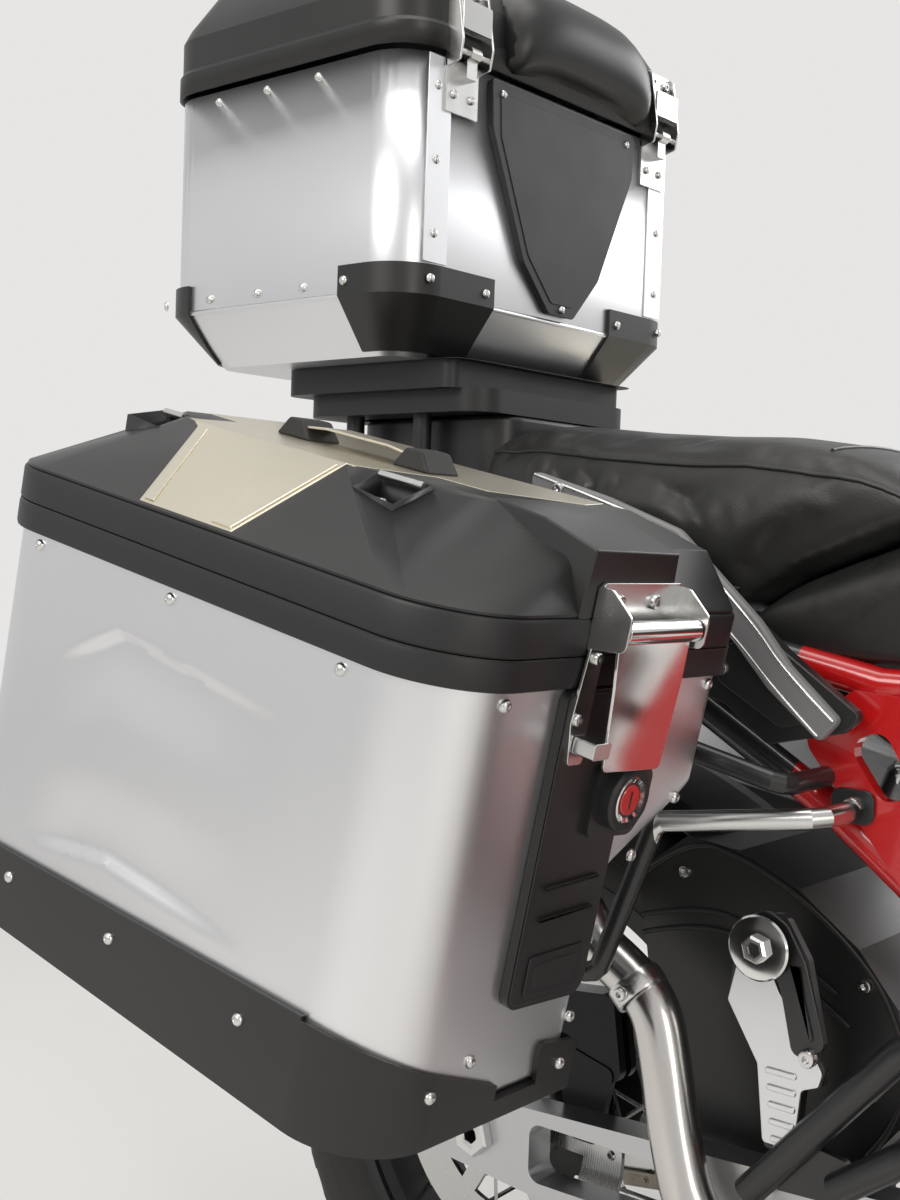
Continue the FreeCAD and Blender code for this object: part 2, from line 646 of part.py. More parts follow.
for low, high in ((head_low - 36, head_low - 4), (head_high + 4, head_high + 34)):
    body = plate([(-22, -18, 14), (-22, 18, 14), (fork_offset - 28, fork_y + 33, 24),
                  (fork_offset + 36, fork_y + 36, 30), (fork_offset + 36, -fork_y - 36, 30),
                  (fork_offset - 28, -fork_y - 33, 24)], low, high, "z")
    turn = FreeCAD.Placement(steer_origin, FreeCAD.Rotation(V(0, 1, 0), -rake_deg))
    body.Placement = turn
    for side in (1, -1):
        body = body.cut(rod(on_steering(low - 5, fork_offset, side * fork_y),
                            on_steering(high + 5, fork_offset, side * fork_y), fork_outer_r))
    clamps.append(body)
stem = rod(on_steering(head_low - 36, 0, 0), on_steering(head_high + 40, 0, 0), stem_r - running_gap)
risers = [rod(on_steering(head_high + 30, 20, side * 45), on_steering(head_high + bar_rise - bar_r, 20,
                                                                      side * 45), 15)
          for side in (1, -1)]
add("fork_clamps", fuse(clamps + [stem] + risers))
add("front_axle", pipe(front_axle + V(0, -fork_y - 31, 0), front_axle + V(0, fork_y + 31, 0), axle_r,
                       axle_bore_r))

# Handlebar, grips, hand guards and mirrors
grip = on_steering(head_high + bar_rise + clear, 20, 0)
bar_points = [(grip.x - 92, -bar_half, grip.z + 12), (grip.x - 34, -250, grip.z + 46),
              (grip.x, -110, grip.z),
              (grip.x, 110, grip.z), (grip.x - 34, 250, grip.z + 46), (grip.x - 92, bar_half, grip.z + 12)]
add("handlebar", bar(bar_points, bar_r, 90))
for side in (1, -1):
    a = V(grip.x - 92, side * bar_half, grip.z + 12)
    b = V(grip.x - 34, side * 250, grip.z + 46)
    along = (b - a).normalize()
    grip_tube = pipe(a + along * 10, a + along * 135, 16.5, bar_r + 0.1)
    add("grips", grip_tube)
    hold = b - along * 45
    collar = pipe(hold - along * 10, hold + along * 10, 17, bar_r + 0.1)
    weight = rod(a - along * 0.3, a - along * 16, bar_r)
    guard = bar([(a.x - 2, side * (bar_half + 10), a.z), (a.x + 60, side * (bar_half + 10), a.z + 4),
                 (a.x + 100, side * (bar_half - 60), a.z + 20), (hold.x + 62, hold.y + side * 22,
                                                                 hold.z + 2), (hold.x + 14, hold.y,
                                                                               hold.z)], 7, 20)
    shield = plate([(side * (bar_half + 4), a.z - 40, 15), (side * (bar_half + 4), a.z + 50, 15),
                    (side * 270, a.z + 70, 20), (side * 262, a.z - 5, 20)], a.x + 108, a.x + 112, "x")

    add("hand_guards", fuse([collar, weight, guard, shield]))
    stalk = bar([(b.x + 2, side * 262, b.z + 9.5), (b.x + 30, side * 275, b.z + 120),
                 (b.x + 24, side * 330, b.z + 175)], 5, 20)
    head = plate([(side * 300, b.z + 150, 25), (side * 300, b.z + 225, 25), (side * 425, b.z + 232, 30),
                  (side * 425, b.z + 160, 30)], b.x - 6, b.x + 26, "x")
    add("mirrors", stalk.fuse(head))

# Brake calipers
for side in (1, -1):
    caliper = plate([(-128, 50, 15), (-178, 72, 15), (-150, 168, 15), (-96, 132, 15)],
                    *sorted([side * 56, side * 82]))
    caliper = caliper.cut(block(-160, -60, *sorted([side * 63, side * 73]), 0, 142))
    bracket = plate([(-20, 10, 6), (-45, 62, 6), (-112, 150, 10), (-158, 112, 10), (-100, 40, 10)],
                    *sorted([side * 79.4, side * 86]))
    bracket = bracket.cut(rod(steer_up * -60 + V(0, side * fork_y, 0), steer_up * 90 + V(0, side * fork_y,
                                                                                         0), 29 + clear))
    caliper = caliper.fuse(bracket)
    caliper.translate(front_axle)
    add("front_calipers", caliper)
rear_caliper = plate([(60, 92, 12), (50, 138, 12), (120, 146, 12), (132, 70, 12), (100, 66, 12)],
                     -disc_y - 14, -disc_y + 12)
rear_caliper = rear_caliper.cut(block(0, 160, -disc_y - 4, -disc_y + 4, 0, 136))
bracket = plate([(60, 95, 8), (125, 80, 8), (110, 10, 8), (80, 10, 8)], clear - arm_inner_y, -97)
rear_caliper = rear_caliper.fuse(bracket)
rear_caliper.translate(rear_centre)
add("rear_caliper", rear_caliper)

# Front bodywork: shrouds, beak with the lamp, screen and instrument
for side in (1, -1):
    shroud = Part.makeLoft([outline([((1010, side * 178, 700), 30), ((1000, side * 178, 930), 30),
                                     ((1110, side * 178, 1030), 30), ((1300, side * 178, 930), 30),
                                     ((1260, side * 178, 640), 30)]),
                            outline([((1030, side * 232, 730), 30), ((1030, side * 232, 900), 30),
                                     ((1110, side * 232, 960), 30), ((1240, side * 232, 890), 30),
                                     ((1220, side * 232, 690), 30)])], True, True)
    add("shrouds", shroud)
nose = plate([(1460, 800, 15), (1600, 850, 15), (1570, 905, 30), (1480, 1005, 20), (1385, 1000, 15),
              (1435, 880, 20)],
             -130, 130)
nose_plan = plate([(1370, -130, 30), (1370, 130, 30), (1490, 120, 60), (1610, 30, 20), (1610, -30, 20),
                   (1490, -120, 60)], 780, 1020, "z")
add("headlamp_nose", nose.common(nose_plan))
screen = plate([(1458, 1004.6, 0), (1326, 1395, 0), (1330, 1396, 0), (1462, 1004.6, 0)], -170, 170)
screen = screen.common(plate([(-170, 1000, 0), (-125, 1400, 60), (125, 1400, 60), (170, 1000, 0)], 1200,
                             1500, "x"))
add("windscreen", screen)
stay_low = on_steering(592, head_r - 4, 0)
stay_high = on_steering(690, head_r - 4, 0)
stay = plate([(stay_low.x, stay_low.z, 0), (stay_high.x, stay_high.z, 0), (1440, 1010, 0), (1470, 915, 0)],
             -13, 13)
stay = stay.cut(rod(head_a, head_b, head_r + clear))
nose_back = plate([(1460 - clear, 780, 0), (1460 - clear, 800, 0), (1435 - clear, 880, 0),
                   (1385 - clear, 1000, 0),
                   (1385 - clear, 1100, 0), (1640, 1100, 0), (1640, 780, 0)], -50, 50)
add("front_stay", stay.cut(nose_back))
arm = plate([(1392, 1000.6, 0), (1428, 1002.6, 0), (1328, 1130, 0), (1285.3, 1128, 0), (1294.7, 1092, 0)],
            -40, 40)
add("front_stay", arm)
add("display", plate([(1285, 1075, 6), (1300, 1070, 6), (1272, 1178, 6), (1257, 1183, 6)], -88, 88))

# Skid plate and crash bars
skid = plate([(1182, 400, 0), (1190, 402, 0), (1176, 255, 20), (1110, 176, 20), (740, 176, 0),
              (740, 184, 0),
              (1106, 184, 16), (1168, 258, 16)], -135, 135)
skid = fuse([skid] + [block(x, x + 16, *sorted([side * 114, side * 130]), 183, cradle_z - tube_r - clear)
                      for x in (850, 1030) for side in (1, -1)])
add("skid_plate", skid)
for side in (1, -1):
    hoop = bar([(1110, side * 143, 300), (1110, side * 210, 300), (1190, side * 270, 420),
                (1160, side * 285, 620),
                (1010, side * 262, 620), (880, side * 262, 300), (880, side * 143, cradle_z)], 12, 34)
    ends = [rod(V(1110, side * 139.5, 300), V(1110, side * 146, 300), 17),
            rod(V(880, side * 139.5, cradle_z), V(880, side * 146, cradle_z), 17)]
    add("crash_bars", fuse([hoop] + ends))

# Carriers, hung from the subframe behind each side case
for side in (1, -1):
    hoop = bar([(350, side * 134.4, 706), (350, side * 190, 706), (230, side * 219, 690),
                (180, side * 219, 560),
                (-170, side * 219, 640), (-190, side * 219, 850), (200, side * 219, 760), (325, side * 200,
                                                                                           728),
                (325, side * 134.4, 728)], 8, 16)
    pucks = [rod(V(x, side * 219, z), V(x, side * (case_in - clear), z), 15) for x,
             z in ((-120, 834), (120, 778))]
    hoop = fuse([hoop] + pucks)
    add("case_carriers", hoop)

# Rider's pegs and their plates, and the hangers: a bent plate, its strap and a rubber bush, carried
# by two bars from the peg plates
bush_x = 289.0
bush_z = 594.0
hanger_bar_r = 12.0
for side in (1, -1):
    web = plate([(262, 600, 10), (256, 544, 6), (285, 500, 6), (292, 436, 4), (318, 436, 4), (322, 488, 6),
                 (337, 494, 4), (340, 507, 6), (320, 548, 12), (316, 580, 12), (302, 616, 14),
                 (272, 618, 12)], *sorted([side * 134, side * 144]))
    strap = plate([(266, 585, 8), (276, 616, 12), (305, 622, 12), (326, 590, 12), (342, 524, 8),
                   (316, 512, 8), (302, 570, 8), (290, 588, 8)], *sorted([side * 143, side * 150]))
    bush = [rod(V(bush_x, side * (near - 1), bush_z), V(bush_x, side * far, bush_z), radius)
            for near, far, radius in ((144, 158, 17), (158, 162, 22), (162, 167, 9))]
    long_bar = bar([(284, side * 152, 400), (400, side * 152, 537), (470, side * 150, 588),
                    (640, side * 147, 588)], hanger_bar_r, 40)
    short_bar = bar([(356, side * 152, 424), (404, side * 152, 461), (500, side * 150, 500),
                     (640, side * 147, 500)], hanger_bar_r, 40)
    tie = plate([(300, 408, 6), (356, 412, 6), (366, 446, 6), (320, 452, 6)],
                *sorted([side * 143, side * 150]))
    peg = rod(V(650, side * 147, 400), V(650, side * 250, 400), 14)
    peg_plate = plate([(610, 655, 15), (670, 668, 15), (680, 390, 20), (625, 380, 20)],
                      *sorted([side * 135.3, side * 148]))
    add("footrests", fuse([peg, peg_plate, web, strap, tie, long_bar, short_bar] + bush))


# Side cases, drawn on the left in their own axes: x forward from the front face, z up from the rim
def case_section(offset, bottom):
    """Cross-section of the case: upright outside, stepped inwards at the bottom on the wheel's side."""
    inner = case_in + offset
    low_inner = case_low_in + offset
    outer = case_out - offset
    return [(inner, case_rim_h, 0), (inner, case_step_top, 8), (low_inner, case_step_low, 8),
            (low_inner, bottom, 0),
            (outer, bottom, 0), (outer, case_rim_h, 0)]


def case_plan(offset, corner, low, high):
    """Plan of the case with its large outer corners."""
    return plate([(-offset, case_in + offset, 20), (-offset, case_out - offset, corner),
                  (-case_len + offset, case_out - offset, corner), (-case_len + offset, case_in + offset,
                                                                    20)],
                 low, high, "z")


def case_solid(offset, z_low, z_high, corner):
    """Solid of the case's form, all its faces brought in by offset."""
    section = plate(case_section(offset, -case_h - 60), -case_len - 50, 50, "x")
    return section.common(case_plan(offset, corner, z_low, z_high))


def seated(shape, side):
    """Put a piece drawn in the left case's axes on the machine."""
    moved = shape.copy()
    moved.rotate(V(0, 0, 0), V(0, 1, 0), case_pitch)
    moved.translate(V(case_x, 0, case_z))
    return moved if side > 0 else mirrored(moved)


shell = case_solid(0, -case_h, case_shell_top, case_corner)
hollow = case_solid(case_wall, -case_h + case_wall, case_rim_h, case_corner - case_wall)
case_shell = shell.cut(hollow)
rim_out = case_plan(-5, case_corner + 5, 0, case_rim_h)
rim_in = case_plan(-clear, case_corner + clear, -1, case_rim_h + 1)
case_rim = rim_out.cut(rim_in)
rim_back = -case_len - 4

# Corner guard round the bottom: its edge falls to the rear, and across the front face to the strip
guard_out = case_solid(-4, -case_h - case_guard_under, -case_h + case_guard_front_h, case_corner + 4)
guard_in = case_solid(-clear, -case_h - clear, 0, case_corner + clear)
guard_end = 413.0
guard_base = -case_h - case_guard_under
guard_front_z = -case_h + case_guard_front_h
guard_rear_z = -case_h + case_guard_rear_h
above_side = plate([(-case_corner, guard_front_z, 0), (-case_len - 10, guard_rear_z, 0),
                    (-case_len - 10, 0, 0), (-case_corner, 0, 0)], case_in - 10, case_out + 10)
above_front = plate([(guard_end, -274, 0), (case_out + 10, guard_front_z, 0), (case_out + 10, 0, 0),
                     (guard_end, 0, 0)], -case_corner, 10, "x")
beside_front = block(-40, 10, case_in, guard_end, -case_h - clear, 0)
case_guard = guard_out.cut(guard_in).cut(above_side).cut(above_front).cut(beside_front)
inner_foot = plate([(326, guard_base, 0), (326, -262, 6), (372, -255, 6), (366, guard_base, 0)], -40,
                   4, "x")
case_guard = case_guard.fuse(inner_foot.cut(guard_in))

# Lid: a black band, sloped faces up to a flat top, and a tower over the latch
lid_base = case_rim_h + clear


def lid_form(offset, low):
    """Solid of the lid's form, all its faces brought in by offset."""
    over = case_lid_h - offset
    along = plate([(5 - offset, low, 0), (5 - offset, case_band_h, 0), (-20 - offset, 86 - offset, 0),
                   (-85, over, 0), (-430, over, 0), (-475 + offset, case_band_h, 0),
                   (-475 + offset, low, 0)], case_in - 10, case_out + 10)
    over_side = plate([(228 + offset, low, 0), (228 + offset, case_band_h, 0), (255 + offset, over, 0),
                       (440 - offset, over, 0), (544 - offset, case_band_h, 0), (544 - offset, low, 0)],
                      -case_len - 10, 10, "x")
    plan = case_plan(offset - 5, case_corner + 5 - offset, low, case_lid_h)
    return along.common(over_side).common(plan)


def tower(offset, low):
    """Solid of the latch tower's form."""
    return plate([(5 - offset, low, 0), (5 - offset, tower_h - offset, 4), (-60, 99 - offset, 0),
                  (-95 + offset, 101 - offset, 0), (-95 + offset, low, 0)], tower_in + offset,
                 tower_out - offset)


case_lid = fuse([lid_form(0, lid_base), tower(0, case_band_h)])
case_lid = case_lid.cut(lid_form(3, lid_base - 1)).cut(tower(3, case_band_h - 6))
lid_axis = V(lid_hinge_x, 0, lid_hinge_z)
case_pin = [rod(lid_axis + V(0, y0, 0), lid_axis + V(0, y1, 0), radius)
            for y0, y1, radius in ((338, 442, 3), (365, 415, 6.5))]
case_knuckle = fuse(case_pin + [block(lid_hinge_x - 6.5, rim_back, 365, 415, lid_hinge_z - 10,
                                      lid_hinge_z)])
for y0, y1 in ((340, 364), (416, 440)):
    case_lid = case_lid.fuse(rod(lid_axis + V(0, y0, 0), lid_axis + V(0, y1, 0), 6.5))
    case_lid = case_lid.fuse(block(lid_hinge_x - 1, rim_back + 2, y0, y1, lid_base, 42))
case_lid = case_lid.cut(rod(lid_axis + V(0, 330, 0), lid_axis + V(0, 450, 0), 3 + running_gap))

# Latch: a strip down the front with a round lock, a bracket on the lid's tower, and its lever
latch_x = 7.0
strip = plate([(strip_y - strip_half, -1.5, 8), (strip_y + strip_half, -1.5, 8),
               (strip_y + strip_half - 3, -217, 12), (strip_y - strip_half - 2, -222, 12)], clear, latch_x,
              "x")
lock = Part.makeCylinder(20, 14, V(latch_x - 1, lock_y, lock_z), V(1, 0, 0))
lock = lock.fuse(plate([(lock_y - 36, lock_z + 16, 8), (lock_y + 30, lock_z + 24, 8),
                        (lock_y + 30, lock_z - 26, 8), (lock_y - 22, lock_z - 30, 12),
                        (lock_y - 36, lock_z - 14, 10)], clear, latch_x + 5, "x"))
ear_half = 44.0
ears = [block(5.3, 34, latch_y + s * ear_half - 2, latch_y + s * ear_half + 2, 29, 60) for s in (-1, 1)]
bracket = fuse(ears + [block(5.3, 8.5, latch_y - ear_half, latch_y + ear_half, 29, 67),
                       rod(V(lever_x, latch_y - ear_half, lever_z), V(lever_x, latch_y + ear_half, lever_z),
                           3)])
lever_half = 34.0
lever = fuse([rod(V(lever_x, latch_y - lever_half, lever_z), V(lever_x, latch_y + lever_half, lever_z), 7),
              block(25, 28, latch_y - 22, latch_y + 22, -54, lever_z - 4)])
lever = lever.cut(rod(V(lever_x, latch_y - 50, lever_z), V(lever_x, latch_y + 50, lever_z), 3.1))
handle_z = case_lid_h + clear
handle = fuse([block(x, x + 28, 342, 378, handle_z, handle_z + 10) for x in (-345, -218)]
              + [block(-338, -197, 345, 375, handle_z + 8, handle_z + 14)])
for side, name in ((1, "left"), (-1, "right")):
    add("case_shell_" + name, seated(case_shell, side))
    add("case_trim_" + name, seated(case_rim.fuse(case_knuckle), side), seated(case_guard, side),
        seated(strip.fuse(lock), side))
    add("case_lid_" + name, seated(case_lid, side))
    add("case_lid_fittings_" + name, seated(bracket, side), seated(handle, side))
    add("case_lever_" + name, seated(lever, side))

# Top case
box_fold_z = box_rim_z - box_fold_h


def box_plan(offset, corner, low, high):
    """Plan of the top case."""
    return plate([(box_x - offset, -box_half + offset, corner), (box_x - offset, box_half - offset, corner),
                  (box_x - box_len + offset, box_half - offset, corner),
                  (box_x - box_len + offset, -box_half + offset, corner)], low, high, "z")


def box_ring(offset, corner, z):
    """Outline of the top case at one height."""
    return outline([((box_x - offset, -box_half + offset, z), corner), ((box_x - offset, box_half - offset,
                                                                         z), corner),
                    ((box_x - box_len + offset, box_half - offset, z), corner),
                    ((box_x - box_len + offset, -box_half + offset, z), corner)])


tray_inset = 38.0
box_body = Part.makeLoft([box_ring(tray_inset, 30, box_fold_z - box_tray_h),
                          box_ring(0, box_corner, box_fold_z)], True, True)
box_body = box_body.fuse(box_plan(0, box_corner, box_fold_z, box_rim_z))
box_hollow = Part.makeLoft([box_ring(tray_inset + 3, 28, box_fold_z - box_tray_h + 3),
                            box_ring(case_wall, box_corner - case_wall, box_fold_z)], True, True)
box_hollow = box_hollow.fuse(box_plan(case_wall, box_corner - case_wall, box_fold_z, box_rim_z + 1))
add("top_case_shell", box_body.cut(box_hollow))
box_lid = Part.makeLoft([box_ring(-4, box_corner + 4, box_rim_z + 1),
                         box_ring(-4, box_corner + 4, box_rim_z + 60),
                         box_ring(24, box_corner, box_rim_z + box_lid_h)], True, True)
lid_hollow = Part.makeLoft([box_ring(3, box_corner - 3, box_rim_z),
                            box_ring(3, box_corner - 3, box_rim_z + 58),
                            box_ring(28, box_corner - 4, box_rim_z + box_lid_h - 4)], True, True)
bulge = plate([(box_x + 2, box_rim_z + 15, 0), (-22, box_rim_z + 22, 8), (-14, box_rim_z + 55, 12),
               (-34, box_rim_z + 96, 14), (-90, box_rim_z + 111, 0), (-90, box_rim_z + 100, 0),
               (box_x + 2, box_rim_z + 58, 0)], -96, 138)
box_top = fuse([box_lid, bulge]).cut(lid_hollow)
for y in (-150, 165):
    box_pin = V(box_hinge_x, y, box_hinge_z)
    add("top_case_hinges", fuse([block(box_x + clear, box_x + 3.3, y - 22, y + 22, box_rim_z - 50,
                                       box_rim_z - 4),
                                 block(box_x + 3, box_hinge_x, y - 7, y + 7, box_rim_z - 20, box_rim_z - 4),
                                 block(box_hinge_x - 5, box_hinge_x, y - 7, y + 7, box_rim_z - 20,
                                       box_hinge_z),
                                 rod(box_pin - V(0, 7, 0), box_pin + V(0, 7, 0), 6),
                                 rod(box_pin - V(0, 20, 0), box_pin + V(0, 20, 0), 2.5)]))
    for y0, y1 in ((y - 20, y - 8), (y + 8, y + 20)):
        barrel = rod(V(box_hinge_x, y0, box_hinge_z), V(box_hinge_x, y1, box_hinge_z), 6)
        leaf = block(box_x + 2, box_hinge_x, y0, y1, box_hinge_z, box_hinge_z + 6)
        box_top = box_top.fuse([barrel, leaf])
    box_top = box_top.cut(rod(box_pin - V(0, 21, 0), box_pin + V(0, 21, 0), 2.5 + running_gap))
add("top_case_lid", box_top)

# Top case's corner guards, and the shield plate on its front
def box_form(offset):
    """Solid of the top case's form up to the guards' top, its faces moved out by offset."""
    tray = Part.makeLoft([box_ring(tray_inset - offset, 30 + offset, box_fold_z - box_tray_h),
                          box_ring(-offset, box_corner + offset, box_fold_z)], True, True)
    return tray.fuse(box_plan(-offset, box_corner + offset, box_fold_z, box_guard_top))


guard_skin = box_form(4).cut(box_form(clear))
for x0, x1 in ((box_x - 77, box_x + 10), (box_x - box_len - 10, box_x - box_len + 47)):
    for side in (1, -1):
        corner = block(x0, x1, *sorted([side * 95, side * (box_half + 10)]), box_fold_z - 46, box_guard_top)
        add("top_case_trim", guard_skin.common(corner))
add("top_case_trim", plate([(-112, box_rim_z - 6, 6), (124, box_rim_z - 6, 6), (120, box_rim_z - 50, 10),
                            (66, 1165, 12), (24, 1122, 10), (-14, 1122, 10), (-56, 1165, 12),
                            (-108, box_rim_z - 50, 10)], box_x + clear, box_x + 6, "x"))

# Stands
leg_foot_x = stand_x + stand_lead
legs = []
for side in (1, -1):
    legs.append(rod(V(stand_x, side * 90, stand_z), V(stand_x, side * 119, stand_z), 18))
    legs.append(bar([(stand_x, side * 104, stand_z), (stand_x + 10, side * 112, 150),
                     (leg_foot_x, side * 150, 16)], 14, 40))
    legs.append(plate([(leg_foot_x - 45, side * 150 - 22, 10), (leg_foot_x - 45, side * 150 + 22, 10),
                       (leg_foot_x + 45, side * 150 + 22, 10), (leg_foot_x + 45, side * 150 - 22,
                                                                10)], 0, 8, "z"))
    legs.append(rod(V(leg_foot_x, side * 150, 4), V(leg_foot_x, side * 150, 20), 14))
legs.append(rod(V(stand_x + 8, -110, 170), V(stand_x + 8, 110, 170), 12))
centre_stand = fuse(legs)
centre_stand = centre_stand.cut(Part.makeCylinder(8.05, 300, V(stand_x, -150, stand_z), V(0, 1, 0)))
add("centre_stand", centre_stand)
knuckle = rod(side_pivot - side_axis * 11, side_pivot + side_axis * 11, 14)
leg = bar([(side_x, side_y, side_z), (side_x - 60, side_y + 8, side_z + 6),
           (side_x - side_stand_len, side_y + 18, side_z + 22)], 11, 30)
sole = block(side_x - side_stand_len - 30, side_x - side_stand_len - 22, side_y - 12, side_y + 42,
             side_z + 2, side_z + 42)
side_leg = fuse([knuckle, leg, sole, rod(V(side_x - side_stand_len, side_y + 18, side_z + 22),
                                V(side_x - side_stand_len - 26, side_y + 18, side_z + 22), 11)])
side_leg = side_leg.cut(rod(side_pivot - side_axis * 40, side_pivot + side_axis * 40, 6 + running_gap))
add("side_stand", side_leg)

# Lamps at the tail
add("tail_lamp", plate([(-256, 946.3, 4), (-292, 946.3, 6), (-298, 985, 10), (-256, 992, 10)], -75, 75))
add("plate_holder", plate([(-232.5, 924, 3), (-232.5, 946, 3), (-300, 946, 6), (-350, 716, 3),
                           (-342, 714, 3), (-276, 924, 6)],
                          -60, 60))


def whole_machine():
    """All nodes, moved so that the origin is the middle of the base of the bounding box."""
    everything = Part.makeCompound([s for solids in NODES.values() for s in solids])
    size = everything.optimalBoundingBox(False)
    shift = V(-(size.XMin + size.XMax) / 2, -(size.YMin + size.YMax) / 2, -size.ZMin)
    return {name: Part.makeCompound(solids).translated(shift) for name, solids in NODES.items()}, shift


MACHINE, SHIFT = whole_machine()
os.makedirs("parts", exist_ok=True)
for name, shape in MACHINE.items():
    shape.exportStep("parts/" + name + ".step")
print("nodes", len(MACHINE), "shift", SHIFT)
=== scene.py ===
import bpy
import bmesh
import math
from mathutils import Matrix, Vector


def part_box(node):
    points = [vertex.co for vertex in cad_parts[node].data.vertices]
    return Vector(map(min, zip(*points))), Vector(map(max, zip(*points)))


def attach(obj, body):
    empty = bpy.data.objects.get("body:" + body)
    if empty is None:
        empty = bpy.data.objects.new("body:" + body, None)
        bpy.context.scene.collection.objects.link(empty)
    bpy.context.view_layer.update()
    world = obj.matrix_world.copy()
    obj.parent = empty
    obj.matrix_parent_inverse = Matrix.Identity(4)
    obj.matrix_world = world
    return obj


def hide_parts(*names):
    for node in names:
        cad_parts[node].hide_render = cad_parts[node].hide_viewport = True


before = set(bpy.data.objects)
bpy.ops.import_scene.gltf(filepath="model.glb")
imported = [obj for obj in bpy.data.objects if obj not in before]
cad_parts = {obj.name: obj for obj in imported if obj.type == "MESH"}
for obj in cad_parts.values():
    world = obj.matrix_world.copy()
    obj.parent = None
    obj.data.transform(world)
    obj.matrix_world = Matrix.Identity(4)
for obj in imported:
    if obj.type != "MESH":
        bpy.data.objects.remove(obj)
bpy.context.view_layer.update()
wheel_low, wheel_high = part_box("rear_tyre")
AXLE_X = (wheel_low.x + wheel_high.x) / 2


def at(x, y, z):
    """A place on the machine: millimetres forward of the rear axle, to the left, above the floor."""
    return Vector((x / 1000 + AXLE_X, y / 1000, z / 1000))


# The photograph's viewpoint, with a pale floor and backdrop, and soft lamps at a plain level.
view_from = at(819, -1162, 895)
turn, tilt, lean = math.radians(130.359), math.radians(2.2155), math.radians(1.944)
ahead = Vector((math.cos(tilt) * math.cos(turn), math.cos(tilt) * math.sin(turn), -math.sin(tilt)))
across = ahead.cross(Vector((0, 0, 1))).normalized()
upward = across.cross(ahead)
right_of_frame = across * math.cos(lean) + upward * math.sin(lean)
top_of_frame = upward * math.cos(lean) - across * math.sin(lean)
camera_data = bpy.data.cameras.new("camera")
camera_data.lens = 43.84
camera_data.sensor_width = 36
camera_data.clip_start = 0.02
camera = bpy.data.objects.new("camera", camera_data)
camera.matrix_world = Matrix((
    (right_of_frame.x, top_of_frame.x, -ahead.x, view_from.x),
    (right_of_frame.y, top_of_frame.y, -ahead.y, view_from.y),
    (right_of_frame.z, top_of_frame.z, -ahead.z, view_from.z),
    (0, 0, 0, 1)))
bpy.context.scene.collection.objects.link(camera)
bpy.context.scene.camera = camera
bpy.context.scene.view_settings.view_transform = "Standard"


class Value:
    """A socket in a material, so that an expression on it adds the Math nodes."""

    def __init__(self, finish, socket):
        self.finish, self.socket = finish, socket

    def maths(self, operation, *rest):
        return self.finish.node("ShaderNodeMath", {"operation": operation}, *rest)

    def __add__(self, other):
        return self.maths("ADD", self, other)

    def __sub__(self, other):
        return self.maths("SUBTRACT", self, other)

    def __rsub__(self, other):
        return self.maths("SUBTRACT", other, self)

    def __mul__(self, other):
        return self.maths("MULTIPLY", self, other)

    def __pow__(self, other):
        return self.maths("POWER", self, other)

    def __gt__(self, other):
        return self.maths("GREATER_THAN", self, other)

    def __lt__(self, other):
        return self.maths("LESS_THAN", self, other)

    __radd__, __rmul__ = __add__, __mul__

    def most(self, other):
        return self.maths("MAXIMUM", self, other)

    def least(self, other):
        return self.maths("MINIMUM", self, other)

    def size(self):
        return self.maths("ABSOLUTE", self)

    def wave(self):
        return self.maths("SINE", self)

    def held(self):
        """The value kept between 0 and 1."""
        return self.most(0.0).least(1.0)


